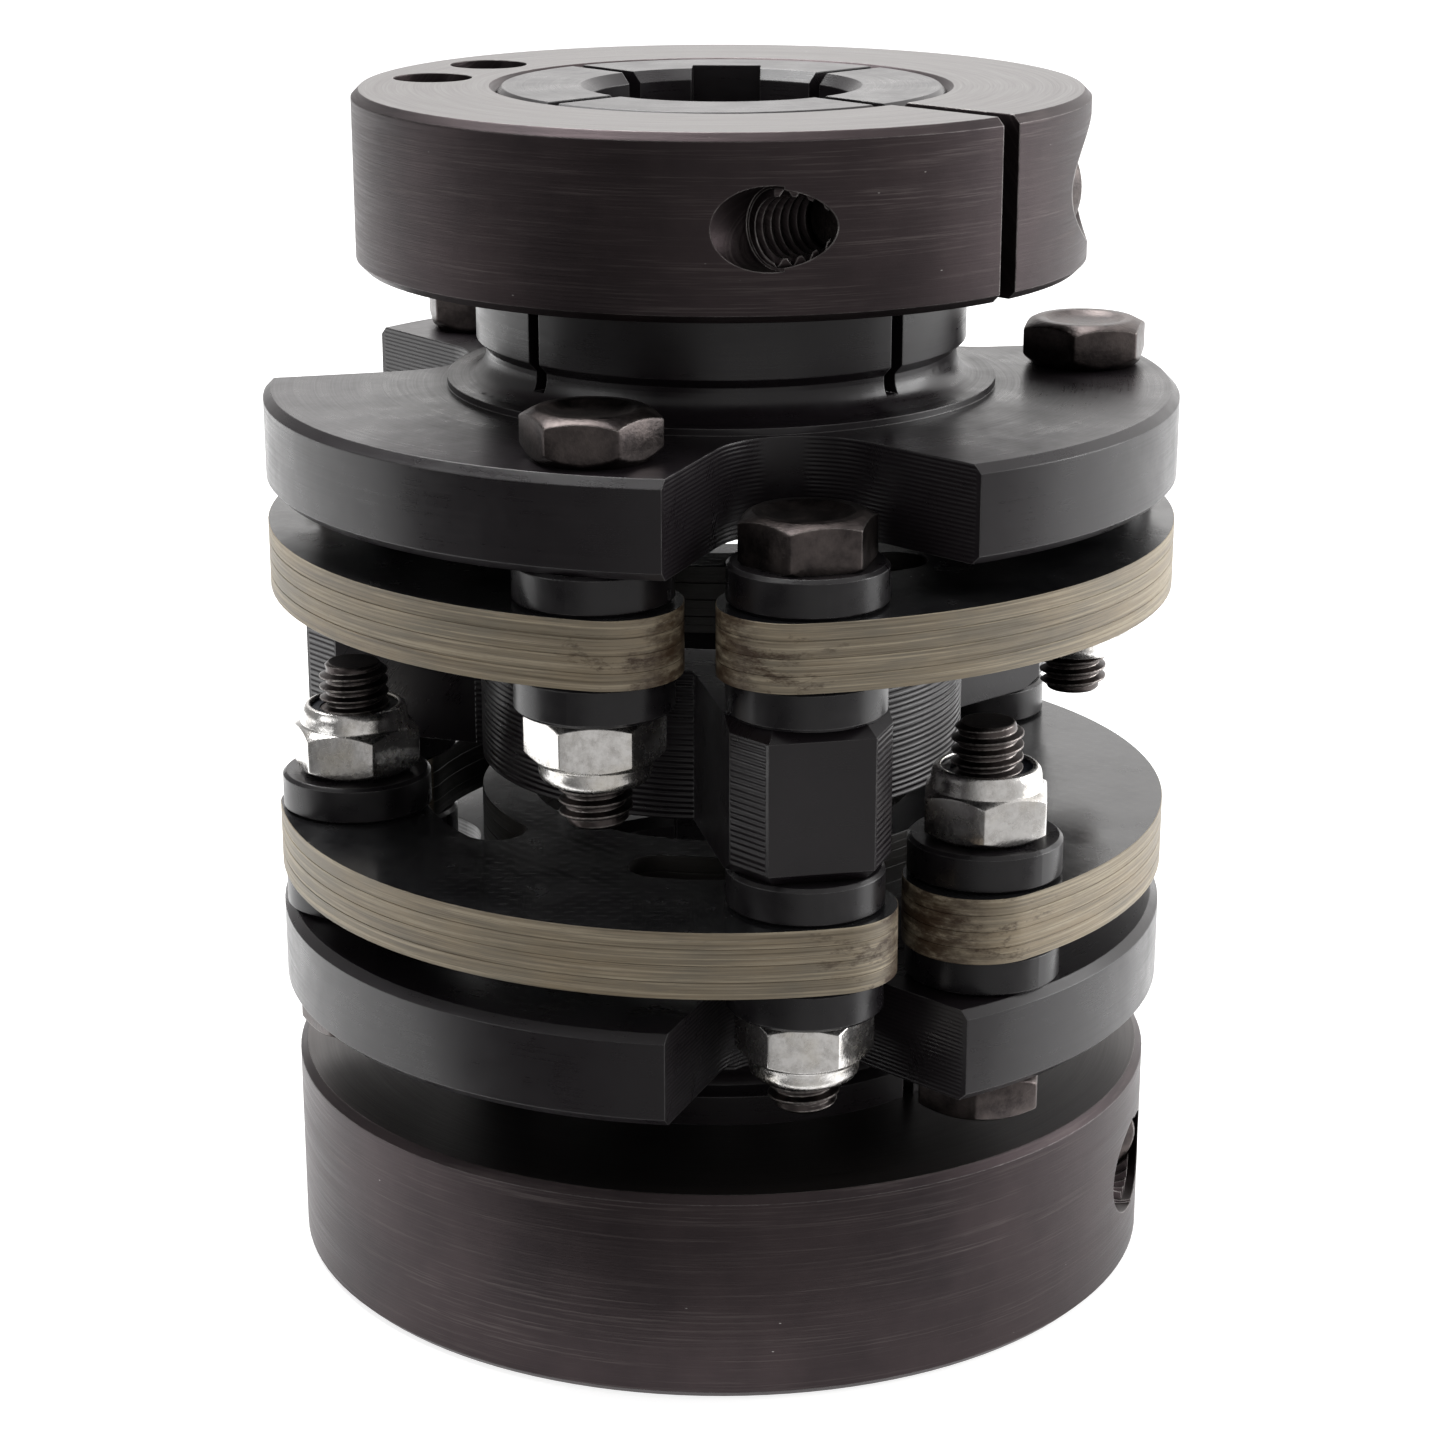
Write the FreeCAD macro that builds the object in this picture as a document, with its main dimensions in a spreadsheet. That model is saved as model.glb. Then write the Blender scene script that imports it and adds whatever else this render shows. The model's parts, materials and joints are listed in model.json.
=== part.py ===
"""Double flex disc coupling for joining two shafts end to end.

Two hubs, each clamped on its shaft by a split ring, carry the torque through two packs of
laminated composite discs and a three-armed centre member.  Every pack is bolted to its hub at
three places and to the centre member at three places between them, so each pack bends like a
hinge about any axis in its plane and the coupling takes up misaligned shafts.

The frame has +Z along the shafts, with the origin on the axis at the bottom of the lower clamp
ring.  Azimuths are in degrees from +X, turning towards +Y.  All lengths are in millimetres.
"""
import os

import FreeCAD, Part
import Sketcher

Vector = FreeCAD.Vector

# Driving sizes: alias, value and what the value is.
SIZES = [
    ("bolt_circle", 65.6),          # diameter of the circle that all nine bolts stand on
    ("bolt_pair_angle", 30.0),      # a centre bolt to the hub bolt beside it
    ("arm_azimuth", -78.0),         # first centre arm; the other two follow every 120 degrees
    ("flange_edge", 6.7),           # flange rim outside the bolt circle
    ("flange_len", 8.0),
    ("flange_chamfer", 0.7),
    ("scallop_inset", 1.4),         # centre of a scallop's round bottom, inside the bolt circle
    ("scallop_clearance", 1.53),    # all round a nut's corners
    ("scallop_flare", 33.0),        # a scallop's flank to its middle line
    ("bolt_dia", 6.0),
    ("bolt_clearance", 0.15),       # all round, in plain holes
    ("thread_clearance", 0.04),     # all round, in tapped holes
    ("hub_bolt_tail", 3.7),         # bolt standing out of its nut
    ("centre_bolt_tail", 2.9),
    ("bolt_tip", 0.8),
    ("hex_across_flats", 10.0),
    ("head_len", 4.0),
    ("nut_len", 6.0),
    ("nut_hex_len", 4.5),
    ("nut_collar_wall", 1.5),       # collar's outside to the bolt
    ("nut_collar_sink", 0.5),       # collar reaching into the hexagon's eased end
    ("nut_mouth_wall", 0.8),
    ("insert_wall", 1.0),           # locking ring in the nut's collar
    ("insert_len", 1.5),
    ("insert_lip", 0.4),            # nut collar rolled over the locking ring
    ("insert_clearance", 0.02),
    ("spacer_wall", 3.5),           # spacer's outside to the bolt
    ("spacer_len", 3.3),
    ("spacer_chamfer", 0.3),
    ("ply_len", 1.425),
    ("ply_count", 4),
    ("arm_rim", 5.9),               # disc arm inside the bolt circle
    ("slot_width", 5.4),            # between a disc's inner ring and its arms
    ("disc_ring_width", 4.5),
    ("web_angle", 20.9),            # middle of a web to the centre of a slot's round end
    ("arm_gap", 2.5),
    ("tip_round", 6.0),
    ("centre_len", 13.0),
    ("centre_hub_gap", 11.4),       # bolt circle to the centre member's tube
    ("centre_wall", 7.4),
    ("centre_bore_chamfer", 0.8),
    ("arm_margin", 0.2),            # centre arm wider than its spacers, each side
    ("arm_end", 5.6),               # centre arm outside the bolt circle
    ("arm_corner", 2.35),           # bevel on an arm's upright corners: across, then along
    ("arm_nose_len", 3.9),
    ("arm_edge_chamfer", 1.0),
    ("step_len", 0.6),
    ("neck_fillet", 2.2),
    ("shoulder_ledge", 2.2),        # shoulder that a clamp ring seats on
    ("shoulder_relief", 0.8),       # neck under the shoulder
    ("bore_chamfer", 0.9),
    ("sleeve_chamfer", 0.4),
    ("slit_width", 1.3),
    ("slit_azimuth", 43.0),
    ("slit_foot", 1.6),             # the slits stop this far from the flange
    ("ring_clearance", 0.05),       # all round, between a clamp ring and its sleeve
    ("ring_chamfer", 0.65),
    ("ring_split", 2.0),
    ("screw_tip", 0.8),
    ("relief_clearance", 0.3),      # all round, in a tapped hole's plain mouth
    ("head_clearance", 0.5),        # all round, between a screw head and its counterbore
    ("key_azimuth", 88.0),
    ("upper_bore", 22.0),
    ("upper_key_width", 6.0),
    ("upper_key_height", 2.8),      # keyway above the bore's wall
    ("upper_sleeve_wall", 7.9),
    ("upper_step_ledge", 3.4),      # turned step where the neck meets the flange
    ("upper_neck_len", 10.4),       # flange to clamp ring
    ("upper_shoulder_len", 6.4),
    ("upper_ring_wall", 12.2),
    ("upper_ring_len", 14.6),
    ("upper_split_azimuth", -42.8),
    ("upper_screw_dia", 6.0),
    ("upper_screw_len", 20.0),
    ("upper_screw_wall", 1.9),      # sleeve to clamp screw
    ("upper_seat_offset", 7.0),     # face under the screw head to the split's middle
    ("upper_mouth_len", 3.9),       # plain mouth of the tapped hole
    ("upper_head_dia", 10.0),
    ("upper_head_len", 6.0),
    ("upper_socket", 5.0),
    ("lower_bore", 32.0),
    ("lower_key_width", 10.0),
    ("lower_key_height", 3.3),
    ("lower_sleeve_wall", 5.8),
    ("lower_step_ledge", 2.6),
    ("lower_neck_len", 6.5),
    ("lower_shoulder_len", 2.6),
    ("lower_ring_wall", 16.8),
    ("lower_ring_len", 18.5),
    ("lower_split_azimuth", 22.5),
    ("lower_screw_dia", 8.0),
    ("lower_screw_len", 25.0),
    ("lower_screw_wall", 4.2),
    ("lower_seat_offset", 6.0),
    ("lower_mouth_len", 4.6),
    ("lower_head_dia", 13.0),
    ("lower_head_len", 8.0),
    ("lower_socket", 6.0),
    ("balance_dia", 6.8),           # blind holes that balance the upper clamp ring
    ("balance_depth", 10.0),
    ("balance_edge", 6.0),          # balance hole's centre inside the ring's rim
    ("balance_azimuth", 144.9),
    ("balance_step", 24.6),
]

doc = FreeCAD.newDocument("FlexCoupling")
sheet = doc.addObject("Spreadsheet::Sheet", "Dims")
for row, (alias, number) in enumerate(SIZES, start=1):
    sheet.set(f"A{row}", str(number))
    sheet.setAlias(f"A{row}", alias)
doc.recompute()

# Heights along the axis, from the bottom up, each as an expression of the sheet's values.
PACK_LEN = "Dims.ply_count * Dims.ply_len"
LOWER_FLANGE = "Dims.lower_ring_len + Dims.lower_neck_len"
LOWER_FACE = f"{LOWER_FLANGE} + Dims.flange_len"
LOWER_PACK = f"{LOWER_FACE} + Dims.spacer_len"
LOWER_PACK_TOP = f"{LOWER_PACK} + {PACK_LEN}"
CENTRE_BOTTOM = f"{LOWER_PACK_TOP} + Dims.spacer_len"
CENTRE_TOP = f"{CENTRE_BOTTOM} + Dims.centre_len"
UPPER_PACK = f"{CENTRE_TOP} + Dims.spacer_len"
UPPER_PACK_TOP = f"{UPPER_PACK} + {PACK_LEN}"
UPPER_FACE = f"{UPPER_PACK_TOP} + Dims.spacer_len"
UPPER_FLANGE = f"{UPPER_FACE} + Dims.flange_len"
UPPER_RING = f"{UPPER_FLANGE} + Dims.upper_neck_len"
INSERT_LOW = "Dims.nut_len - Dims.insert_len - Dims.insert_lip"

# Sizes that follow from the driving ones.
BOLT_RADIUS = "Dims.bolt_circle / 2"
FLANGE_RADIUS = f"({BOLT_RADIUS} + Dims.flange_edge)"
PLAIN_HOLE = "(Dims.bolt_dia + 2 * Dims.bolt_clearance)"
TAPPED_HOLE = "(Dims.bolt_dia + 2 * Dims.thread_clearance)"
HEX_CORNER = "(Dims.hex_across_flats / cos(30) / 2)"
SPACER_OD = "(Dims.bolt_dia + 2 * Dims.spacer_wall)"
INSERT_OD = "(Dims.bolt_dia + 2 * Dims.insert_wall)"
SLOT_OUTER = f"({BOLT_RADIUS} - Dims.arm_rim)"
SLOT_INNER = f"({SLOT_OUTER} - Dims.slot_width)"
SLOT_MIDDLE = f"({SLOT_OUTER} - Dims.slot_width / 2)"
SLOT_END_ANGLE = "(60 - Dims.web_angle)"
CENTRE_TUBE = f"({BOLT_RADIUS} - Dims.centre_hub_gap)"
GRIP = f"({PACK_LEN} + 2 * Dims.spacer_len)"
HUB_BOLT_LEN = f"(Dims.flange_len + {GRIP} + Dims.nut_len + Dims.hub_bolt_tail)"
CENTRE_BOLT_LEN = f"(Dims.centre_len + 2 * {GRIP} + Dims.nut_len + Dims.centre_bolt_tail)"

# Azimuths of the three bolt circles and of the gaps between a disc's arms.
CENTRE_BOLTS = "Dims.arm_azimuth"
UPPER_BOLTS = "Dims.arm_azimuth - Dims.bolt_pair_angle"
LOWER_BOLTS = "Dims.arm_azimuth + Dims.bolt_pair_angle"
UPPER_GAP = "Dims.arm_azimuth - Dims.bolt_pair_angle / 2"
LOWER_GAP = "Dims.arm_azimuth + Dims.bolt_pair_angle / 2"

# The turn, in degrees, that each hexagon was left at when its thread was tightened.
UPPER_HEAD_TURNS = (-7.0, 16.0, 41.0)
LOWER_HEAD_TURNS = (24.0, 33.0, 2.0)
CENTRE_HEAD_TURNS = (15.0, 48.0, 27.0)
UPPER_NUT_TURNS = (2.0, 22.0, 51.0)
LOWER_NUT_TURNS = (25.0, 9.0, -10.0)
CENTRE_NUT_TURNS = (-2.0, 44.0, 20.0)

MATCH = 1e-4        # two sizes this close are the same
nodes = []


class HubSizes:
    """Sizes of one hub, its clamp ring and its clamp screw, as expressions of the sheet's values."""

    def __init__(self, side):
        size = f"Dims.{side}_"
        self.bore = f"({size}bore / 2)"
        self.sleeve = f"({size}bore / 2 + {size}sleeve_wall)"
        self.shoulder = f"({self.sleeve} + Dims.shoulder_ledge)"
        self.neck = f"({self.shoulder} - Dims.shoulder_relief)"
        self.step = f"({self.neck} + {size}step_ledge)"
        self.fillet = f"min(Dims.neck_fillet; 0.9 * {size}step_ledge)"
        self.shoulder_top = f"(Dims.flange_len + {size}neck_len)"
        self.shoulder_low = f"({self.shoulder_top} - {size}shoulder_len)"
        self.top = f"({self.shoulder_top} + {size}ring_len)"
        self.ring_bore = f"({self.sleeve} + Dims.ring_clearance)"
        self.ring = f"({self.ring_bore} + {size}ring_wall)"
        self.ring_len = f"{size}ring_len"
        self.screw = f"({size}screw_dia / 2)"
        self.screw_axis = (f"({self.sleeve} + {self.screw} + {size}screw_wall)", f"{size}ring_len / 2")
        self.seat = f"{size}seat_offset"


def value(expression):
    """Number that an expression of the sheet's values gives now."""
    return float(sheet.evalExpression(str(expression)))


def keep(item, node):
    """Label an object as one of the coupling's pieces and return it."""
    item.Label = node
    nodes.append(item)
    return item


def bind(item, **sizes):
    """Bind properties of an object to expressions; a double underscore stands for a dot."""
    for prop, expression in sizes.items():
        item.setExpression(prop.replace("__", "."), str(expression))
    return item


def place(item, height="0", turn="0"):
    """Turn an object about the coupling's axis and lift it to a height."""
    return bind(item, Placement__Base__z=height, Placement__Rotation__Angle=turn)


def place_on_circle(item, index, azimuth, height, turn, head_up):
    """Stand a fastener on the bolt circle, with its head or nut up or down."""
    around = f"({azimuth} + {120 * index})"
    flip = FreeCAD.Rotation(Vector(1, 0, 0), 0 if head_up else 180)
    item.Placement = FreeCAD.Placement(Vector(), FreeCAD.Rotation(Vector(0, 0, 1), turn) * flip)
    return bind(
        item,
        Placement__Base__x=f"{BOLT_RADIUS} * cos({around})",
        Placement__Base__y=f"{BOLT_RADIUS} * sin({around})",
        Placement__Base__z=height,
    )


# ---- sketches and features of a PartDesign body ----


def new_body(name):
    """Empty body that may hold several separate solids."""
    body = doc.addObject("PartDesign::Body", name)
    body.AllowCompound = True
    return body


def origin_item(body, role):
    """One of a body's own origin planes or axes."""
    return next(item for item in body.Origin.OriginFeatures if item.Role == role)


def new_sketch(body, name, plane="XY_Plane", lift="0", turn="0"):
    """Sketch on a body's own origin plane, lifted along and turned about its normal."""
    sketch = body.newObject("Sketcher::SketchObject", name)
    sketch.AttachmentSupport = [(origin_item(body, plane), "")]
    sketch.MapMode = "FlatFace"
    return bind(sketch, AttachmentOffset__Base__z=lift, AttachmentOffset__Rotation__Angle=turn)


def tie(sketch, *constraint_and_expression):
    """Add a sized constraint whose size follows an expression."""
    *constraint, expression = constraint_and_expression
    number = value(expression)
    if constraint[0] == "Angle":
        number = FreeCAD.Units.Quantity(f"{number} deg").getValueAs("rad").Value
    index = sketch.addConstraint(Sketcher.Constraint(*constraint, number))
    sketch.setExpression(f"Constraints[{index}]", str(expression))


def tie_point(sketch, shape, point, across, up):
    """Fix a point of a sketch at two coordinates, on an axis where one is zero."""
    for kind, axis, expression in (("DistanceX", -2, across), ("DistanceY", -1, up)):
        if str(expression) == "0":
            sketch.addConstraint(Sketcher.Constraint("PointOnObject", shape, point, axis))
        else:
            tie(sketch, kind, -1, 1, shape, point, expression)


def draw_outline(sketch, corners):
    """Closed outline through corners, each a pair of expressions."""
    points = [Vector(value(across), value(up), 0) for across, up in corners]
    ends = points[1:] + points[:1]
    lines = [sketch.addGeometry(Part.LineSegment(a, b)) for a, b in zip(points, ends)]
    for line, following in zip(lines, lines[1:] + lines[:1]):
        sketch.addConstraint(Sketcher.Constraint("Coincident", line, 2, following, 1))
    for line, (across, up) in zip(lines, corners):
        tie_point(sketch, line, 1, across, up)
    return sketch


def draw_circle(sketch, radius, across="0", up="0"):
    """Circle of a radius about a point."""
    centre = Vector(value(across), value(up), 0)
    circle = sketch.addGeometry(Part.Circle(centre, Vector(0, 0, 1), value(radius)))
    tie_point(sketch, circle, 3, across, up)
    tie(sketch, "Radius", circle, radius)
    return sketch


def draw_rectangle(sketch, start, end, width):
    """Rectangle along the sketch's X axis and centred on it."""
    half = f"({width}) / 2"
    corners = [(start, f"-{half}"), (end, f"-{half}"), (end, half), (start, half)]
    return draw_outline(sketch, corners)


def pad(body, sketch, length, flipped=False):
    """Pad a sketch."""
    feature = body.newObject("PartDesign::Pad", f"{sketch.Name}_pad")
    feature.Profile = sketch
    feature.Reversed = flipped
    bind(feature, Length=length)
    doc.recompute()
    return feature


def pocket(body, sketch, depth, flipped=False):
    """Cut a sketch into a body, and make sure that it took something away."""
    before = body.Shape.Volume
    feature = body.newObject("PartDesign::Pocket", f"{sketch.Name}_cut")
    feature.Profile = sketch
    feature.Reversed = flipped
    bind(feature, Length=depth)
    doc.recompute()
    if not feature.Shape.Volume < before:
        raise RuntimeError(f"{feature.Name} cuts nothing")
    return feature


def revolve(body, sketch):
    """Revolve a sketch on the XZ plane a full turn about the body's Z axis."""
    feature = body.newObject("PartDesign::Revolution", f"{sketch.Name}_turned")
    feature.Profile = sketch
    feature.ReferenceAxis = (sketch, ["V_Axis"])
    feature.Angle = 360
    doc.recompute()
    return feature


def around_axis(body, features, count):
    """Repeat features about the body's Z axis."""
    pattern = body.newObject("PartDesign::PolarPattern", f"{features[0].Name}_around")
    pattern.Originals = features
    pattern.Axis = (origin_item(body, "Z_Axis"), [""])
    pattern.Angle = 360
    pattern.Occurrences = count
    body.Tip = pattern
    doc.recompute()
    return pattern


def dress(body, kind, test, size):
    """Fillet or chamfer the edges of the body's tip that pass a test."""
    base = body.Tip
    names = [f"Edge{i}" for i, edge in enumerate(base.Shape.Edges, start=1) if test(edge)]
    if not names:
        raise RuntimeError(f"{body.Name} has no edges to dress")
    feature = body.newObject(f"PartDesign::{kind}", f"{body.Name}_{kind.lower()}")
    feature.Base = (base, names)
    bind(feature, **{"Radius" if kind == "Fillet" else "Size": size})
    doc.recompute()
    return feature


def is_rim(edge, radius, height=None):
    """Whether an edge is a level round rim of a radius, at a height if one is given."""
    curve = edge.Curve
    if not isinstance(curve, Part.Circle) or abs(curve.Radius - radius) > MATCH:
        return False
    if abs(abs(curve.Axis.z) - 1) > MATCH:
        return False
    return height is None or abs(curve.Center.z - height) < MATCH


def is_upright(edge):
    """Whether an edge is straight and along Z."""
    return isinstance(edge.Curve, Part.Line) and abs(abs(edge.Curve.Direction.z) - 1) < MATCH


# ---- hubs ----


def draw_scallop(sketch):
    """Open-mouthed V with a round bottom, along the sketch's X axis."""
    middle = f"({BOLT_RADIUS} - Dims.scallop_inset)"
    bottom = f"({HEX_CORNER} + Dims.scallop_clearance)"
    mouth = f"({FLANGE_RADIUS} + {bottom})"
    centre, radius = Vector(value(middle), 0, 0), value(bottom)
    flare = FreeCAD.Rotation(Vector(0, 0, 1), value("Dims.scallop_flare"))
    start = centre + flare.multVec(Vector(0, radius, 0))
    run = flare.multVec(Vector(1, 0, 0))
    end = start + run * ((value(mouth) - start.x) / run.x)
    low_start = Vector(start.x, -start.y, 0)
    low_end = Vector(end.x, -end.y, 0)
    arc = sketch.addGeometry(Part.Arc(start, centre - Vector(radius, 0, 0), low_start))
    high = sketch.addGeometry(Part.LineSegment(start, end))
    low = sketch.addGeometry(Part.LineSegment(low_start, low_end))
    cap = sketch.addGeometry(Part.LineSegment(end, low_end))
    tie_point(sketch, arc, 3, middle, "0")
    tie(sketch, "Radius", arc, bottom)
    sketch.addConstraint(Sketcher.Constraint("Tangent", arc, 1, high, 1))
    sketch.addConstraint(Sketcher.Constraint("Tangent", arc, 2, low, 1))
    sketch.addConstraint(Sketcher.Constraint("Coincident", high, 2, cap, 1))
    sketch.addConstraint(Sketcher.Constraint("Coincident", low, 2, cap, 2))
    sketch.addConstraint(Sketcher.Constraint("Symmetric", high, 2, low, 2, -1))
    tie(sketch, "Angle", high, "Dims.scallop_flare")
    tie(sketch, "DistanceX", -1, 1, high, 2, mouth)
    return sketch


def hub_profile(hub):
    """Corners of a hub's turned outline, from the bore out and up, then back down the bore."""
    rim, edge = FLANGE_RADIUS, "Dims.flange_chamfer"
    step_top = "Dims.flange_len + Dims.step_len"
    return [
        (f"{hub.bore} + Dims.bore_chamfer", "0"),
        (f"{rim} - {edge}", "0"),
        (rim, edge),
        (rim, f"Dims.flange_len - {edge}"),
        (f"{rim} - {edge}", "Dims.flange_len"),
        (hub.step, "Dims.flange_len"),
        (hub.step, step_top),
        (hub.neck, step_top),
        (hub.neck, f"{hub.shoulder_low} - Dims.shoulder_relief"),
        (hub.shoulder, hub.shoulder_low),
        (hub.shoulder, hub.shoulder_top),
        (hub.sleeve, hub.shoulder_top),
        (hub.sleeve, f"{hub.top} - Dims.sleeve_chamfer"),
        (f"{hub.sleeve} - Dims.sleeve_chamfer", hub.top),
        (f"{hub.bore} + Dims.bore_chamfer", hub.top),
        (hub.bore, f"{hub.top} - Dims.bore_chamfer"),
        (hub.bore, "Dims.bore_chamfer"),
    ]


def make_hub(side, sense, bolts, height):
    """Flanged hub with its sleeve, standing on the flange face that looks at the discs.

    The lower hub is the same part upside down, so its azimuths count the other way: sense is -1.
    """
    hub = HubSizes(side)
    body = new_body(f"{side}_hub_body")
    revolve(body, draw_outline(new_sketch(body, f"{side}_hub_profile", "XZ_Plane"), hub_profile(hub)))
    neck = value(hub.neck)
    step_top = "Dims.flange_len + Dims.step_len"
    foot = value(step_top)
    dress(body, "Fillet", lambda edge: is_rim(edge, neck, foot), hub.fillet)

    def turned(name, lift, azimuth):
        return new_sketch(body, f"{side}_{name}", lift=lift, turn=f"{sense} * ({azimuth})")

    above_fillet = f"{step_top} + Dims.neck_fillet"
    scallop = draw_scallop(turned("scallop", above_fillet, CENTRE_BOLTS))
    around_axis(body, [pocket(body, scallop, above_fillet)], 3)
    hole = draw_circle(turned("bolt_hole", "Dims.flange_len", bolts), f"{PLAIN_HOLE} / 2", BOLT_RADIUS)
    around_axis(body, [pocket(body, hole, "Dims.flange_len")], 3)
    slit = turned("slit", hub.top, "Dims.slit_azimuth")
    slit_ends = (f"{hub.bore} - Dims.slit_width", f"{hub.shoulder} + Dims.slit_width")
    draw_rectangle(slit, *slit_ends, "Dims.slit_width")
    around_axis(body, [pocket(body, slit, f"{hub.top} - Dims.flange_len - Dims.slit_foot")], 4)
    key = turned("keyway", hub.top, "Dims.key_azimuth")
    key_ends = (f"{hub.bore} / 2", f"{hub.bore} + Dims.{side}_key_height")
    draw_rectangle(key, *key_ends, f"Dims.{side}_key_width")
    pocket(body, key, hub.top)
    upside_down = FreeCAD.Rotation(Vector(1, 0, 0), 180 if sense < 0 else 0)
    body.Placement = FreeCAD.Placement(Vector(), upside_down)
    bind(body, Placement__Base__z=height)
    return keep(body, f"{side}_hub")


# ---- clamp rings and their screws ----


def make_clamp_ring(side, height):
    """Split ring with its split along +X and its clamp screw across the split."""
    hub = HubSizes(side)
    size = f"Dims.{side}_"
    body = new_body(f"{side}_ring_body")
    blank = new_sketch(body, f"{side}_ring_blank")
    draw_circle(blank, hub.ring)
    draw_circle(blank, hub.ring_bore)
    pad(body, blank, hub.ring_len)
    rims = (value(hub.ring), value(hub.ring_bore))
    dress(body, "Chamfer", lambda edge: any(is_rim(edge, rim) for rim in rims), "Dims.ring_chamfer")

    split = new_sketch(body, f"{side}_split", lift=hub.ring_len)
    split_ends = (f"{hub.ring_bore} - Dims.ring_split", f"{hub.ring} + Dims.ring_split")
    draw_rectangle(split, *split_ends, "Dims.ring_split")
    pocket(body, split, hub.ring_len)
    mouth = f"sqrt({hub.ring} ^ 2 - ({hub.screw_axis[0]} - {hub.screw}) ^ 2) - {size}mouth_len"
    holes = (
        ("tapped_hole", "0", f"{hub.screw} + Dims.thread_clearance", True),
        ("tap_mouth", mouth, f"{hub.screw} + Dims.relief_clearance", True),
        ("plain_hole", "0", f"{hub.screw} + 2 * Dims.bolt_clearance", False),
        ("counterbore", f"-{hub.seat}", f"{size}head_dia / 2 + Dims.head_clearance", False),
    )
    for name, lift, radius, flipped in holes:
        sketch = new_sketch(body, f"{side}_{name}", "XZ_Plane", lift=lift)
        pocket(body, draw_circle(sketch, radius, *hub.screw_axis), hub.ring, flipped)
    if side == "upper":
        for index in range(2):
            turn = f"Dims.balance_azimuth + {index} * Dims.balance_step - Dims.upper_split_azimuth"
            hole = new_sketch(body, f"balance_hole_{index + 1}", lift=hub.ring_len, turn=turn)
            draw_circle(hole, "Dims.balance_dia / 2", f"{hub.ring} - Dims.balance_edge")
            pocket(body, hole, "Dims.balance_depth")
    place(body, height, f"{size}split_azimuth")
    return keep(body, f"{side}_clamp_ring")


def make_clamp_screw(side, height):
    """Socket head screw in the clamp ring's own frame, with its head towards +Y."""
    hub = HubSizes(side)
    size = f"Dims.{side}_"
    body = new_body(f"{side}_screw_body")
    head = new_sketch(body, f"{side}_screw_head", "XZ_Plane", lift=f"-{hub.seat}")
    pad(body, draw_circle(head, f"{size}head_dia / 2", *hub.screw_axis), f"{size}head_len", flipped=True)
    shank = new_sketch(body, f"{side}_screw_shank", "XZ_Plane", lift=f"-{hub.seat}")
    pad(body, draw_circle(shank, hub.screw, *hub.screw_axis), f"{size}screw_len")
    ends = (value(f"{hub.seat} + {size}head_len"), value(f"{hub.seat} - {size}screw_len"))

    def is_end(edge):
        round_edge = isinstance(edge.Curve, Part.Circle)
        return round_edge and any(abs(edge.Curve.Center.y - end) < MATCH for end in ends)

    dress(body, "Chamfer", is_end, "Dims.screw_tip")
    socket = new_sketch(body, f"{side}_socket", "XZ_Plane", lift=f"-{hub.seat} - {size}head_len")
    corner = f"{size}socket / cos(30) / 2"
    across, up = hub.screw_axis
    corners = [
        (f"{across} + {corner} * cos({turn})", f"{up} + {corner} * sin({turn})")
        for turn in range(0, 360, 60)
    ]
    pocket(body, draw_outline(socket, corners), f"{size}head_len / 2", flipped=True)
    place(body, height, f"{size}split_azimuth")
    return keep(body, f"{side}_clamp_screw")


# ---- disc packs ----


def draw_arc_slot(sketch):
    """Slot on a circle, with round ends, centred on the sketch's X axis."""
    inner, outer, mean = value(SLOT_INNER), value(SLOT_OUTER), value(SLOT_MIDDLE)
    reach = value(SLOT_END_ANGLE)

    def at(radius, angle):
        return FreeCAD.Rotation(Vector(0, 0, 1), angle).multVec(Vector(radius, 0, 0))

    outside = sketch.addGeometry(Part.Arc(at(outer, -reach), at(outer, 0), at(outer, reach)))
    inside = sketch.addGeometry(Part.Arc(at(inner, -reach), at(inner, 0), at(inner, reach)))
    for side, end in ((1, 2), (-1, 1)):
        tip = at(mean, side * reach) + at(side * (outer - inner) / 2, side * reach + 90)
        first, last = (outer, inner) if side > 0 else (inner, outer)
        cap = sketch.addGeometry(Part.Arc(at(first, side * reach), tip, at(last, side * reach)))
        outside_end, inside_end = (1, 2) if side > 0 else (2, 1)
        sketch.addConstraint(Sketcher.Constraint("Tangent", outside, end, cap, outside_end))
        sketch.addConstraint(Sketcher.Constraint("Tangent", inside, end, cap, inside_end))
        tie(sketch, "DistanceY", -1, 1, cap, 3, f"{side} * {SLOT_MIDDLE} * sin({SLOT_END_ANGLE})")
    for arc, radius in ((outside, SLOT_OUTER), (inside, SLOT_INNER)):
        sketch.addConstraint(Sketcher.Constraint("Coincident", arc, 3, -1, 1))
        tie(sketch, "Radius", arc, radius)
    return sketch


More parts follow.
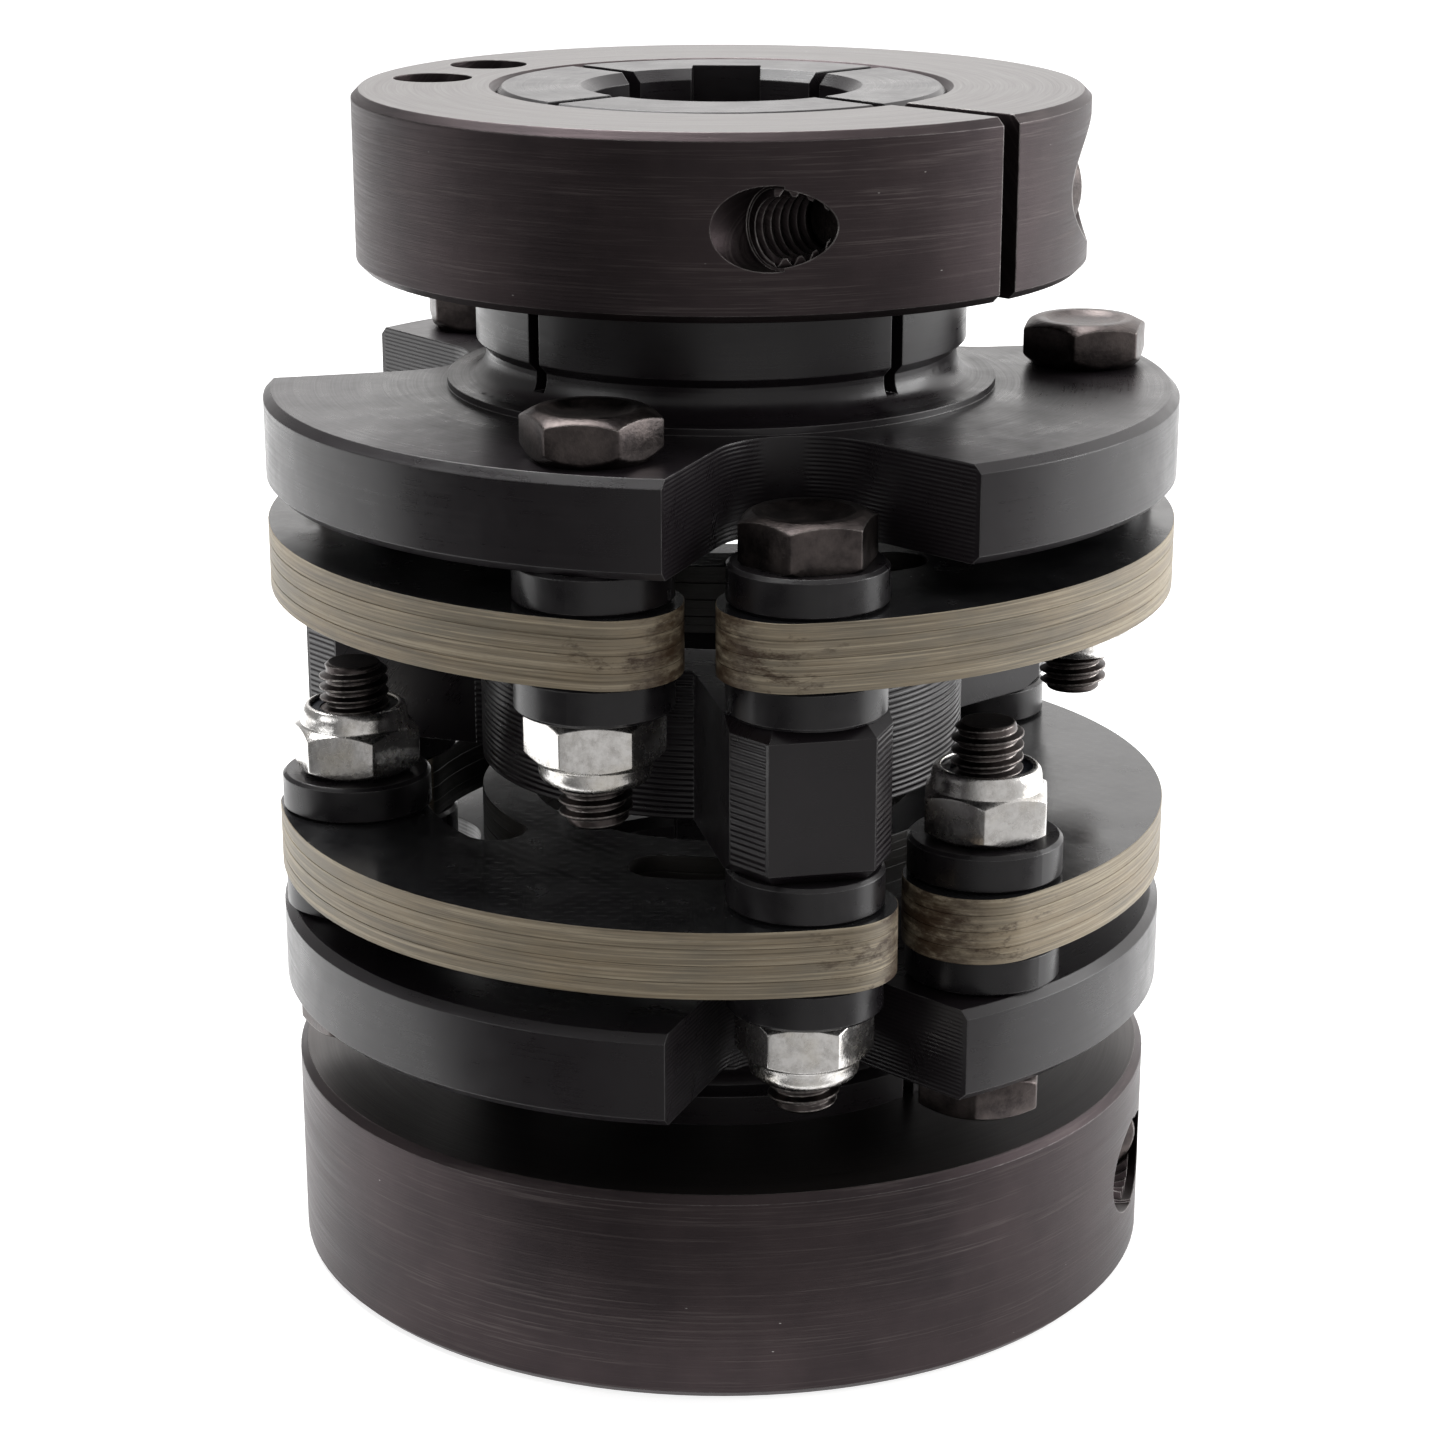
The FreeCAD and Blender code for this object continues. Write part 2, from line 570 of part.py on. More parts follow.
def make_ply(side, index, pack, gap):
    """One disc: an inner ring, three webs and three arms whose ends take the bolts."""
    body = new_body(f"{side}_ply_{index + 1}")
    blank = new_sketch(body, f"{body.Name}_blank")
    draw_circle(blank, FLANGE_RADIUS)
    draw_circle(blank, f"{SLOT_INNER} - Dims.disc_ring_width")
    pad(body, blank, "Dims.ply_len")

    def top_sketch(name):
        return new_sketch(body, f"{body.Name}_{name}", lift="Dims.ply_len")

    slot = draw_arc_slot(top_sketch("slot"))
    slit = draw_rectangle(top_sketch("gap"), SLOT_MIDDLE, f"2 * {FLANGE_RADIUS}", "Dims.arm_gap")
    holes = top_sketch("holes")
    for sense in (1, -1):
        angle = f"({sense} * Dims.bolt_pair_angle / 2)"
        place_in_disc = (f"{BOLT_RADIUS} * cos{angle}", f"{BOLT_RADIUS} * sin{angle}")
        draw_circle(holes, f"{PLAIN_HOLE} / 2", *place_in_disc)
    around_axis(body, [pocket(body, sketch, "Dims.ply_len") for sketch in (slot, slit, holes)], 3)
    half_gap = value("Dims.arm_gap / 2")

    def is_arm_tip(edge):
        if not is_upright(edge):
            return False
        turns = [FreeCAD.Rotation(Vector(0, 0, 1), turn) for turn in (0, 120, 240)]
        offsets = [turn.multVec(edge.CenterOfMass).y for turn in turns]
        return any(abs(abs(offset) - half_gap) < MATCH for offset in offsets)

    dress(body, "Fillet", is_arm_tip, "min(Dims.tip_round; 0.48 * (Dims.flange_edge + Dims.arm_rim))")
    place(body, f"{pack} + {index} * Dims.ply_len", gap)
    return keep(body, f"{side}_disc_{index + 1}")


# ---- centre member ----


def make_centre():
    """Short tube with three square arms, each drilled for a centre bolt."""
    body = new_body("centre_body")
    bore = f"({CENTRE_TUBE} - Dims.centre_wall)"
    blank = new_sketch(body, "centre_blank")
    draw_circle(blank, CENTRE_TUBE)
    draw_circle(blank, bore)
    pad(body, blank, "Dims.centre_len")
    root = f"{CENTRE_TUBE} - Dims.centre_wall / 2"
    reach = f"({BOLT_RADIUS} + Dims.arm_end)"
    shoulder = f"({reach} - Dims.arm_nose_len)"
    side = f"({SPACER_OD} / 2 + Dims.arm_margin)"
    nose = f"({side} - Dims.arm_corner)"
    corners = [
        (root, f"-{side}"),
        (shoulder, f"-{side}"),
        (reach, f"-{nose}"),
        (reach, nose),
        (shoulder, side),
        (root, side),
    ]
    arm = pad(body, draw_outline(new_sketch(body, "centre_arm"), corners), "Dims.centre_len")
    hole = new_sketch(body, "centre_hole", lift="Dims.centre_len")
    draw_circle(hole, f"{PLAIN_HOLE} / 2", BOLT_RADIUS)
    around_axis(body, [arm, pocket(body, hole, "Dims.centre_len")], 3)
    outside = value(shoulder)

    def is_nose_edge(edge):
        level = isinstance(edge.Curve, Part.Line) and abs(edge.Curve.Direction.z) < MATCH
        return level and all(Vector(v.X, v.Y, 0).Length > outside for v in edge.Vertexes)

    dress(body, "Chamfer", is_nose_edge, "Dims.arm_edge_chamfer")
    bore_radius = value(bore)
    dress(body, "Chamfer", lambda edge: is_rim(edge, bore_radius), "Dims.centre_bore_chamfer")
    place(body, CENTRE_BOTTOM, CENTRE_BOLTS)
    return keep(body, "centre_member")


# ---- bolts, nuts, locking rings and spacers ----


def solid(kind, name, low="0", **sizes):
    """Part primitive that starts at a height, with its sizes bound to expressions."""
    return bind(doc.addObject(f"Part::{kind}", name), Placement__Base__z=low, **sizes)


def combine(kind, name, shapes):
    """Part boolean of two or more shapes."""
    result = doc.addObject(f"Part::{kind}", name)
    if kind in ("Cut", "Common"):
        result.Base, result.Tool = shapes
    else:
        result.Shapes = shapes
    return result


def eased_hexagon(name, length, both_ends=False):
    """Hexagonal block from 0 to its length, with the corners of its far end turned off."""
    hexagon = solid("Prism", f"{name}_hexagon", Circumradius=HEX_CORNER, Height=length)
    hexagon.Polygon = 6
    flat = "0.95 * Dims.hex_across_flats / 2"
    wide = f"{flat} + ({length}) / tan(30)"
    far = solid("Cone", f"{name}_far_cone", Radius1=wide, Radius2=flat, Height=length)
    block = combine("Common", f"{name}_eased", [hexagon, far])
    if both_ends:
        near = solid("Cone", f"{name}_near_cone", Radius1=flat, Radius2=wide, Height=length)
        block = combine("Common", f"{name}_eased_twice", [block, near])
    return block


def make_bolt(node, length, index, azimuth, height, turn, head_up):
    """Hexagon head bolt with its head above 0 and its shank below."""
    name = f"{node}_{index + 1}"
    radius = "Dims.bolt_dia / 2"
    straight = f"({length} - Dims.bolt_tip)"
    head = eased_hexagon(name, "Dims.head_len")
    shank = solid("Cylinder", f"{name}_shank", f"-{straight}", Radius=radius, Height=straight)
    tip_sizes = {"Radius1": f"{radius} - Dims.bolt_tip / 2", "Radius2": radius, "Height": "Dims.bolt_tip"}
    tip = solid("Cone", f"{name}_tip", f"-{length}", **tip_sizes)
    bolt = combine("MultiFuse", f"{name}_whole", [head, shank, tip])
    return keep(place_on_circle(bolt, index, azimuth, height, turn, head_up), name)


def make_nut(node, index, azimuth, height, turn, collar_up):
    """Locking nut that seats at 0, with its collar above the hexagon."""
    name = f"{node}_{index + 1}"
    bolt = "Dims.bolt_dia / 2"
    block = eased_hexagon(name, "Dims.nut_hex_len", both_ends=True)
    low = "(Dims.nut_hex_len - Dims.nut_collar_sink)"
    collar_len = f"(Dims.nut_len - {low})"
    wide = f"({bolt} + Dims.nut_collar_wall)"
    narrow = f"({wide} - {collar_len} / 6)"
    collar = solid("Cone", f"{name}_collar", low, Radius1=wide, Radius2=narrow, Height=collar_len)
    bore = solid("Cylinder", f"{name}_bore", Radius=f"{TAPPED_HOLE} / 2", Height="Dims.nut_len")
    recess_low = f"({INSERT_LOW} - Dims.insert_clearance)"
    recess_len = "Dims.insert_len + 2 * Dims.insert_clearance"
    recess_radius = f"{INSERT_OD} / 2 + Dims.insert_clearance"
    recess = solid("Cylinder", f"{name}_recess", recess_low, Radius=recess_radius, Height=recess_len)
    mouth_radius = f"{bolt} + Dims.nut_mouth_wall"
    mouth_len = f"Dims.nut_len - {recess_low}"
    mouth = solid("Cylinder", f"{name}_mouth", recess_low, Radius=mouth_radius, Height=mouth_len)
    outside = combine("MultiFuse", f"{name}_outside", [block, collar])
    inside = combine("MultiFuse", f"{name}_inside", [bore, recess, mouth])
    nut = combine("Cut", f"{name}_whole", [outside, inside])
    return keep(place_on_circle(nut, index, azimuth, height, turn, collar_up), name)


def make_rings(node, azimuth, height, outer, inner, length, chamfer=None):
    """Three equal rings on the bolt circle, as separate solids."""
    body = new_body(f"{node}_body")
    sketch = new_sketch(body, f"{node}_ring")
    draw_circle(sketch, f"{outer} / 2", BOLT_RADIUS)
    draw_circle(sketch, f"{inner} / 2", BOLT_RADIUS)
    features = [pad(body, sketch, length)]
    if chamfer:
        rim = value(f"{outer} / 2")
        features.append(dress(body, "Chamfer", lambda edge: is_rim(edge, rim), chamfer))
    around_axis(body, features, 3)
    place(body, height, azimuth)
    return keep(body, node)


def make_spacers(node, azimuth, height):
    """Three spacers that stand a disc pack off what it is bolted to."""
    length, chamfer = "Dims.spacer_len", "Dims.spacer_chamfer"
    return make_rings(node, azimuth, height, SPACER_OD, PLAIN_HOLE, length, chamfer)


def make_inserts(node, azimuth, height):
    """Three nylon locking rings."""
    return make_rings(node, azimuth, height, INSERT_OD, TAPPED_HOLE, "Dims.insert_len")


# ---- the coupling ----

make_hub("lower", -1, LOWER_BOLTS, LOWER_FACE)
make_hub("upper", 1, UPPER_BOLTS, UPPER_FACE)
make_clamp_ring("lower", "0")
make_clamp_ring("upper", UPPER_RING)
make_clamp_screw("lower", "0")
make_clamp_screw("upper", UPPER_RING)
for ply in range(int(value("Dims.ply_count"))):
    make_ply("lower", ply, LOWER_PACK, LOWER_GAP)
    make_ply("upper", ply, UPPER_PACK, UPPER_GAP)
make_centre()
for i in range(3):
    make_bolt("upper_hub_bolt", HUB_BOLT_LEN, i, UPPER_BOLTS, UPPER_FLANGE, UPPER_HEAD_TURNS[i], True)
    make_bolt("lower_hub_bolt", HUB_BOLT_LEN, i, LOWER_BOLTS, LOWER_FLANGE, LOWER_HEAD_TURNS[i], False)
    make_bolt("centre_bolt", CENTRE_BOLT_LEN, i, CENTRE_BOLTS, UPPER_FACE, CENTRE_HEAD_TURNS[i], True)
    make_nut("upper_hub_nut", i, UPPER_BOLTS, CENTRE_TOP, UPPER_NUT_TURNS[i], False)
    make_nut("lower_hub_nut", i, LOWER_BOLTS, CENTRE_BOTTOM, LOWER_NUT_TURNS[i], True)
    make_nut("centre_nut", i, CENTRE_BOLTS, LOWER_FACE, CENTRE_NUT_TURNS[i], False)
make_spacers("upper_hub_spacers", UPPER_BOLTS, UPPER_PACK_TOP)
make_spacers("upper_nut_washers", UPPER_BOLTS, CENTRE_TOP)
make_spacers("upper_centre_spacers", CENTRE_BOLTS, CENTRE_TOP)
make_spacers("centre_head_washers", CENTRE_BOLTS, UPPER_PACK_TOP)
make_spacers("lower_centre_spacers", CENTRE_BOLTS, LOWER_PACK_TOP)
make_spacers("centre_nut_washers", CENTRE_BOLTS, LOWER_FACE)
make_spacers("lower_hub_spacers", LOWER_BOLTS, LOWER_FACE)
make_spacers("lower_nut_washers", LOWER_BOLTS, LOWER_PACK_TOP)
make_inserts("upper_nut_inserts", UPPER_BOLTS, f"{CENTRE_TOP} - ({INSERT_LOW}) - Dims.insert_len")
make_inserts("lower_nut_inserts", LOWER_BOLTS, f"{CENTRE_BOTTOM} + {INSERT_LOW}")
make_inserts("centre_nut_inserts", CENTRE_BOLTS, f"{LOWER_FACE} - ({INSERT_LOW}) - Dims.insert_len")

doc.recompute()
for item in doc.Objects:
    if "Invalid" in item.State or "Error" in item.State:
        raise RuntimeError(f"{item.Name} failed: {item.State}")
for item in nodes:
    if item.Shape.isNull() or not item.Shape.isValid() or item.Shape.Volume <= 0:
        raise RuntimeError(f"{item.Label} has no valid shape")
os.makedirs("parts", exist_ok=True)
for item in nodes:
    item.Shape.exportStep(f"parts/{item.Label}.step")
    box = item.Shape.BoundBox
    print(f"{item.Label:22s} {len(item.Shape.Solids)} solid  z {box.ZMin:7.2f} to {box.ZMax:7.2f}")
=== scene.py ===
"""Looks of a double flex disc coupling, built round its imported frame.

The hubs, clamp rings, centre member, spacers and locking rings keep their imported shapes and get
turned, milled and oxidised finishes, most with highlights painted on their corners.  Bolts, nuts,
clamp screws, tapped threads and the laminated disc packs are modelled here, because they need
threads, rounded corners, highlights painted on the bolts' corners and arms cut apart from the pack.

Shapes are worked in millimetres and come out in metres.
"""

import json
import logging
import math
from collections.abc import Callable, Iterable, Sequence
from dataclasses import dataclass, field
from enum import Enum

import bmesh
import bpy
from mathutils import Matrix, Vector

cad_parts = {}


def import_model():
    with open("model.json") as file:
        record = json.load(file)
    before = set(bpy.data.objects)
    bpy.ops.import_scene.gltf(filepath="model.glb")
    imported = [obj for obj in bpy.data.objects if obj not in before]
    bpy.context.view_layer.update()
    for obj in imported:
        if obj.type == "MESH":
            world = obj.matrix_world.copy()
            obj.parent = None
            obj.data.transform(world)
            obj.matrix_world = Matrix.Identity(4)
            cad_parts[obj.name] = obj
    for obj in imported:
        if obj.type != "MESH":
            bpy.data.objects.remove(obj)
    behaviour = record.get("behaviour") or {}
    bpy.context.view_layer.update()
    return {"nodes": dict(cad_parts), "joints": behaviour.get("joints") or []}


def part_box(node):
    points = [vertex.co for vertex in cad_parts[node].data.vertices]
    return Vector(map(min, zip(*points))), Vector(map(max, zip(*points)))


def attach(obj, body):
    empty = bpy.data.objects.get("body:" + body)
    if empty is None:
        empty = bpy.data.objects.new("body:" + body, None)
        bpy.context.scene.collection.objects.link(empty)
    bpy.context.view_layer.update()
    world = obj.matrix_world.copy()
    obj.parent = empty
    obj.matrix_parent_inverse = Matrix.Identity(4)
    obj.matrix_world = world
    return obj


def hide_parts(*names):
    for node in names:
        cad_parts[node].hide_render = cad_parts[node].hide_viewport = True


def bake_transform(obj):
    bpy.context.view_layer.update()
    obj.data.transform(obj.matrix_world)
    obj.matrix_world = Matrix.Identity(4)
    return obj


LOG = logging.getLogger("coupling")

MM = 0.001
UP = Vector((0.0, 0.0, 1.0))
TIGHT = 1e-4  # two points this close, in millimetres, are one
WELD = 0.001  # millimetres within which the points of a seam are merged
CRUMB = 0.01  # millimetres within which the points that many cuts leave are merged
NEAR = 0.02  # millimetres within which a point counts as being at a height
RADIUS_SHEAR = 1.37  # keeps lathe marks on a face out of step with those on the wall below it
LEVEL = 0.97  # a face whose normal stands steeper than this is level, and shaded flat
STEP = 0.05  # millimetres over which one finish gives way to another
THIRD = 120.0  # degrees from one arm of the coupling to the next
WHITE = (1.0, 1.0, 1.0)

Shape = bmesh.types.BMesh
Object = bpy.types.Object
Material = bpy.types.Material
Colour = tuple[float, float, float]
Socket = bpy.types.NodeSocket
Feed = float | Colour | Socket
Profile = Sequence[tuple[float, float]]
Range = tuple[float, float, float, float]


class Side(Enum):
    """Half of the coupling that a piece belongs to."""

    LOWER = "lower"
    UPPER = "upper"


class Surface(Enum):
    """Part of a laminated disc that has its own look."""

    FACE = 0
    CUT_EDGE = 1


# ---- node trees ----


class Tree:
    """Node tree, with one short call for each kind of node."""

    def __init__(self, tree: bpy.types.NodeTree) -> None:
        """Clear a tree to build in."""
        self.tree = tree
        self.tree.nodes.clear()

    def node(self, kind: str, **settings: object) -> bpy.types.Node:
        """Add a node.

        Args:
            kind: the node's Blender type.
            settings: properties to set on it.

        Returns:
            The node.
        """
        made = self.tree.nodes.new(kind)
        for name, value in settings.items():
            setattr(made, name, value)
        return made

    def feed(self, socket: Socket, value: Feed) -> None:
        """Link a socket to another, or set its value.

        Args:
            socket: the input.
            value: an output socket, a number or a colour.
        """
        if isinstance(value, bpy.types.NodeSocket):
            self.tree.links.new(value, socket)
        elif socket.type == "RGBA":
            socket.default_value = (*value, 1.0)
        else:
            socket.default_value = value

    def out(
        self, kind: str, output: str | int, feeds: dict[str | int, Feed], **settings: object
    ) -> Socket:
        """Add a node and take one of its outputs.

        Args:
            kind: the node's Blender type.
            output: the output.
            feeds: what goes into its inputs.
            settings: properties to set on it.

        Returns:
            The output socket.
        """
        made = self.node(kind, **settings)
        for name, value in feeds.items():
            self.feed(made.inputs[name], value)
        return made.outputs[output]

    def math(self, operation: str, *values: Feed) -> Socket:
        """Do arithmetic on up to three values."""
        return self.out("ShaderNodeMath", 0, dict(enumerate(values)), operation=operation)

    def vector_math(self, operation: str, output: str, *values: Feed, **named: Feed) -> Socket:
        """Do vector arithmetic."""
        feeds = dict(enumerate(values)) | named
        return self.out("ShaderNodeVectorMath", output, feeds, operation=operation)

    def split(self, vector: Socket) -> list[Socket]:
        """Take a vector's three parts."""
        first = self.out("ShaderNodeSeparateXYZ", 0, {0: vector})
        return list(first.node.outputs)

    def join(self, x: Feed, y: Feed, z: Feed) -> Socket:
        """Make a vector of three parts."""
        return self.out("ShaderNodeCombineXYZ", 0, {0: x, 1: y, 2: z})

    def remap(
        self, value: Socket, low: float, high: float, to_low: float = 0.0, to_high: float = 1.0
    ) -> Socket:
        """Carry a value from one range to another, held at its ends."""
        feeds = dict(enumerate((value, low, high, to_low, to_high)))
        return self.out("ShaderNodeMapRange", 0, feeds, clamp=True)


class Graph(Tree):
    """Node tree of one material, with its coordinates in millimetres."""

    def __init__(self, name: str) -> None:
        """Start an empty material.

        Args:
            name: the material's name.
        """
        self.material = bpy.data.materials.new(name)
        self.material.use_nodes = True
        super().__init__(self.material.node_tree)
        where = self.out("ShaderNodeTexCoord", "Object", {})
        self.place = self.vector_math("SCALE", "Vector", where, Scale=1.0 / MM)
        self.x, self.y, self.z = self.split(self.place)
        self.level = self.join(self.x, self.y, 0.0)
        self.radius = self.vector_math("LENGTH", "Value", self.level)
        self.normal = self.out("ShaderNodeNewGeometry", "Normal", {})
        self.normal_up = self.split(self.normal)[2]

    def stretched(self, across: float, along: float) -> Socket:
        """Coordinates of a pattern drawn out level, in cells to a millimetre across and up."""
        return self.times((self.x, across), (self.y, across), (self.z, along))

    def times(self, *parts: tuple[Socket, float]) -> Socket:
        """Vector of three parts, each with its factor."""
        return self.join(*(self.math("MULTIPLY", part, factor) for part, factor in parts))

    def turned(self, around: float, across: float) -> Socket:
        """Coordinates of lathe marks about the coupling's axis, on walls and on level faces.

        Args:
            around: cells round the axis.
            across: cells to a millimetre up a wall or out along a face.

        Returns:
            The vector.
        """
        out_x, out_y, _ = self.split(self.vector_math("NORMALIZE", "Vector", self.level))
        run = self.math("MULTIPLY_ADD", self.radius, RADIUS_SHEAR, self.z)
        return self.times((out_x, around), (out_y, around), (run, across))

    def noise(
        self, vector: Socket, scale: float = 1.0, detail: float = 3.0, rough: float = 0.5
    ) -> Socket:
        """Smooth noise from 0 to 1."""
        feeds = {"Vector": vector, "Scale": scale, "Detail": detail, "Roughness": rough}
        return self.out("ShaderNodeTexNoise", "Fac", feeds)

    def cells(self, vector: Socket, scale: float) -> Socket:
        """Distance to the nearest of scattered points."""
        return self.out("ShaderNodeTexVoronoi", "Distance", {"Vector": vector, "Scale": scale})

    def mix(self, share: Feed, first: Feed, second: Feed) -> Socket:
        """Blend two colours, with a share of the second."""
        return self.out("ShaderNodeMix", 2, {0: share, 6: first, 7: second}, data_type="RGBA")

    def both(self, first: Feed, second: Feed) -> Socket:
        """Share of a surface where two masks meet."""
        return self.math("MULTIPLY", first, second)

    def rounded(self, radius: float) -> Socket:
        """Normal of a surface whose corners are rounded to a radius in millimetres."""
        return self.out("ShaderNodeBevel", "Normal", {"Radius": radius * MM}, samples=6)

    def corners(self, rounded: Socket, low: float = 0.03, high: float = 0.25) -> Socket:
        """Mask of the corners, from how far the rounded normal leans."""
        likeness = self.vector_math("DOT_PRODUCT", "Value", rounded, self.normal)
        return self.remap(self.math("SUBTRACT", 1.0, likeness), low, high)

    def painted_corner_highlight(self, rounded: Socket, scale: float, *span: float) -> Socket:
        """Mask of the corners where a highlight is painted, broken into patches like wear by noise
        remapped over a span.
        """
        patches = self.remap(self.noise(self.place, scale), *span)
        return self.both(self.corners(rounded), patches)

    def bump(self, height: Socket, depth: float, normal: Socket | None = None) -> Socket:
        """Relief of a height map, `depth` millimetres from lowest to highest."""
        feeds = {"Distance": depth * MM, "Strength": 1.0, "Height": height}
        return self.out("ShaderNodeBump", 0, feeds | ({"Normal": normal} if normal else {}))

    def close(
        self, colour: Feed, rough: Feed, normal: Socket, metallic: float, **settings: Feed
    ) -> Material:
        """End the tree in a shader.

        Args:
            colour: base colour.
            rough: roughness.
            normal: shading normal.
            metallic: metallic share.
            settings: other inputs of the shader, with an underscore for each space.

        Returns:
            The material.
        """
        feeds = {"Base Color": colour, "Roughness": rough, "Normal": normal, "Metallic": metallic}
        feeds |= {name.replace("_", " "): value for name, value in settings.items()}
        shader = self.out("ShaderNodeBsdfPrincipled", 0, feeds)
        self.feed(self.node("ShaderNodeOutputMaterial").inputs[0], shader)
        return self.material


# ---- finishes ----


@dataclass(frozen=True)
class RingOxide:
    """Brown-black oxide on turned steel with brushed streaks and scuffs; painted corner highlights
    and painted light on level faces.
    """

    dark: Colour = (0.038, 0.031, 0.033)
    brown: Colour = (0.060, 0.047, 0.049)
    scuffed: Colour = (0.19, 0.165, 0.16)
    # painted highlight: colour of the level faces, paler as if lit from above
    level: Colour = (0.060, 0.053, 0.051)
    film: float = 0.45
    # bare steel of the nicks, also the colour of the highlight painted on the corners
    bare_and_highlight: Colour = (0.42, 0.40, 0.39)
    corner: float = 0.20

    def build(self) -> Material:
        """Make the material.

        Returns:
            The material.
        """
        g = Graph("ring_oxide")
        fine = g.noise(g.turned(3.4, 6.0), detail=5.0, rough=0.62)
        broad = g.noise(g.turned(1.3, 0.7), detail=4.0, rough=0.6)
        blotch = g.noise(g.place, scale=0.09, detail=4.0, rough=0.6)
        streak = g.both(g.remap(fine, 0.50, 0.68), g.remap(broad, 0.42, 0.62))
        points = g.remap(g.cells(g.stretched(0.5, 1.1), 0.55), 0.035, 0.012)
        nick = g.both(points, g.remap(blotch, 0.5, 0.6))
        colour = g.mix(g.remap(blotch, 0.3, 0.7), self.dark, self.brown)
        colour = g.mix(g.math("MULTIPLY", streak, 0.36), colour, self.scuffed)
        # painted light: faces that look up are painted paler and mottled, as light from above; the
        # same mask also raises the bump
        facing_up = g.remap(g.normal_up, 0.75, 0.95)
        mottle = g.remap(g.noise(g.turned(7.0, 1.6), detail=4.0), 0.3, 0.7, 0.72, 1.0)
        painted_top_light = g.both(facing_up, mottle)
        colour = g.mix(painted_top_light, colour, self.level)
        normal = g.rounded(self.corner)
        # painted highlight: the corners are painted bare steel in patches like wear; the nicks are
        # real
        corner_highlight = g.painted_corner_highlight(normal, 0.8, 0.35, 0.6, 0.25, 0.9)
        colour = g.mix(g.math("MAXIMUM", corner_highlight, nick), colour, self.bare_and_highlight)
        marks = g.math("MULTIPLY_ADD", broad, 0.5, fine)
        rough = g.remap(marks, 0.5, 1.0, 0.36, 0.52)
        relief = g.bump(g.math("ADD", fine, painted_top_light), 0.02, normal)
        film = {"Coat_Weight": g.both(facing_up, self.film), "Coat_IOR": 1.5, "Coat_Roughness": 0.3}
        return g.close(colour, rough, relief, 1.0, **film)


@dataclass(frozen=True)
class BlackAnodised:
    """Satin black anodised aluminium, turned all over and milled in its scallops and arms, with
    highlights painted on its corners.
    """

    name: str
    dark: Colour = (0.0066, 0.0046, 0.0062)
    pale: Colour = (0.0125, 0.0098, 0.0120)
    # bare metal of the milling ridges, also the colour of the highlight painted on the corners
    bare_and_highlight: Colour = (0.25, 0.245, 0.245)
    milled_inside: float = 39.1
    milled_outside: float = 24.6
    cut_pitch: float = 0.36
    plain: tuple[float, float] = (60.0, 61.0)
    nose: float = 70.0
    relief: float = 0.018
    corner: float = 0.14

    def build(self) -> Material:
        """Make the material.

        Returns:
            The material.
        """
        g = Graph(self.name)
        fine = g.noise(g.turned(2.2, 5.0), detail=4.0, rough=0.55)
        cloud = g.noise(g.place, scale=0.12, detail=4.0, rough=0.6)
        wall = g.remap(g.math("ABSOLUTE", g.normal_up), 0.35, 0.15)
        outside = g.remap(g.radius, self.milled_outside - 0.3, self.milled_outside)
        inside = g.remap(g.radius, self.milled_inside, self.milled_inside - 0.2)
        milled = g.both(wall, g.both(outside, inside))
        low, high = self.plain
        side = g.both(g.remap(g.radius, low, low + STEP), g.remap(g.radius, high, high - STEP))
        flat = g.math("MAXIMUM", side, g.remap(g.radius, self.nose - STEP, self.nose))
        milled = g.both(milled, g.math("SUBTRACT", 1.0, flat))
        drift = g.noise(g.stretched(0.04, 0.8), detail=3.0, rough=0.7)
        wander = g.math("MULTIPLY", drift, 5.0)
        phase = g.math("MULTIPLY_ADD", g.z, math.tau / self.cut_pitch, wander)
        chatter = g.math("MULTIPLY_ADD", g.math("SINE", phase), 0.5, 0.5)
        colour = g.mix(g.remap(cloud, 0.3, 0.7), self.dark, self.pale)
        ridge = g.remap(chatter, 0.7, 1.0, 0.0, 0.03)
        colour = g.mix(g.both(milled, ridge), colour, self.bare_and_highlight)
        normal = g.rounded(self.corner)
        # painted highlight: the corners are painted bare metal in patches like wear
        corner_highlight = g.painted_corner_highlight(normal, 0.5, 0.3, 0.6, 0.12, 0.75)
        colour = g.mix(corner_highlight, colour, self.bare_and_highlight)
        smear = g.remap(g.noise(g.place, scale=0.22, detail=5.0, rough=0.7), 0.35, 0.7, -0.03, 0.07)
        rough = g.math("ADD", g.remap(fine, 0.3, 0.7, 0.26, 0.34), smear)
        height = g.math("ADD", g.math("MULTIPLY", fine, 0.12), g.both(milled, chatter))
        return g.close(colour, rough, g.bump(height, self.relief, normal), 0.0, IOR=1.5)


@dataclass(frozen=True)
class BoltOxide:
    """Brown-black oxide on forged bolts, with highlights painted on its corners and smudges on its
    faces.
    """

    dark: Colour = (0.048, 0.041, 0.041)
    brown: Colour = (0.125, 0.106, 0.101)
    # colour of the highlight painted on the corners
    bare_and_highlight: Colour = (0.62, 0.58, 0.55)
    corner: float = 0.20

    def build(self) -> Material:
        """Make the material.

        Returns:
            The material.
        """
        g = Graph("bolt_oxide")
        smudge = g.noise(g.place, scale=0.35, detail=5.0, rough=0.65)
        grain = g.noise(g.place, scale=3.2, detail=3.0, rough=0.6)
        colour = g.mix(g.remap(smudge, 0.35, 0.65), self.dark, self.brown)
        normal = g.rounded(self.corner)
        # painted highlight: the corners are painted bright, broken up by the grain
        painted_corner_glint = g.both(g.corners(normal, 0.015, 0.12), g.remap(grain, 0.35, 0.6, 0.25, 0.95))
        colour = g.mix(painted_corner_glint, colour, self.bare_and_highlight)
        marks = g.math("MULTIPLY_ADD", grain, 0.4, smudge)
        rough = g.remap(marks, 0.5, 0.9, 0.28, 0.46)
        return g.close(colour, rough, g.bump(grain, 0.03, normal), 1.0)


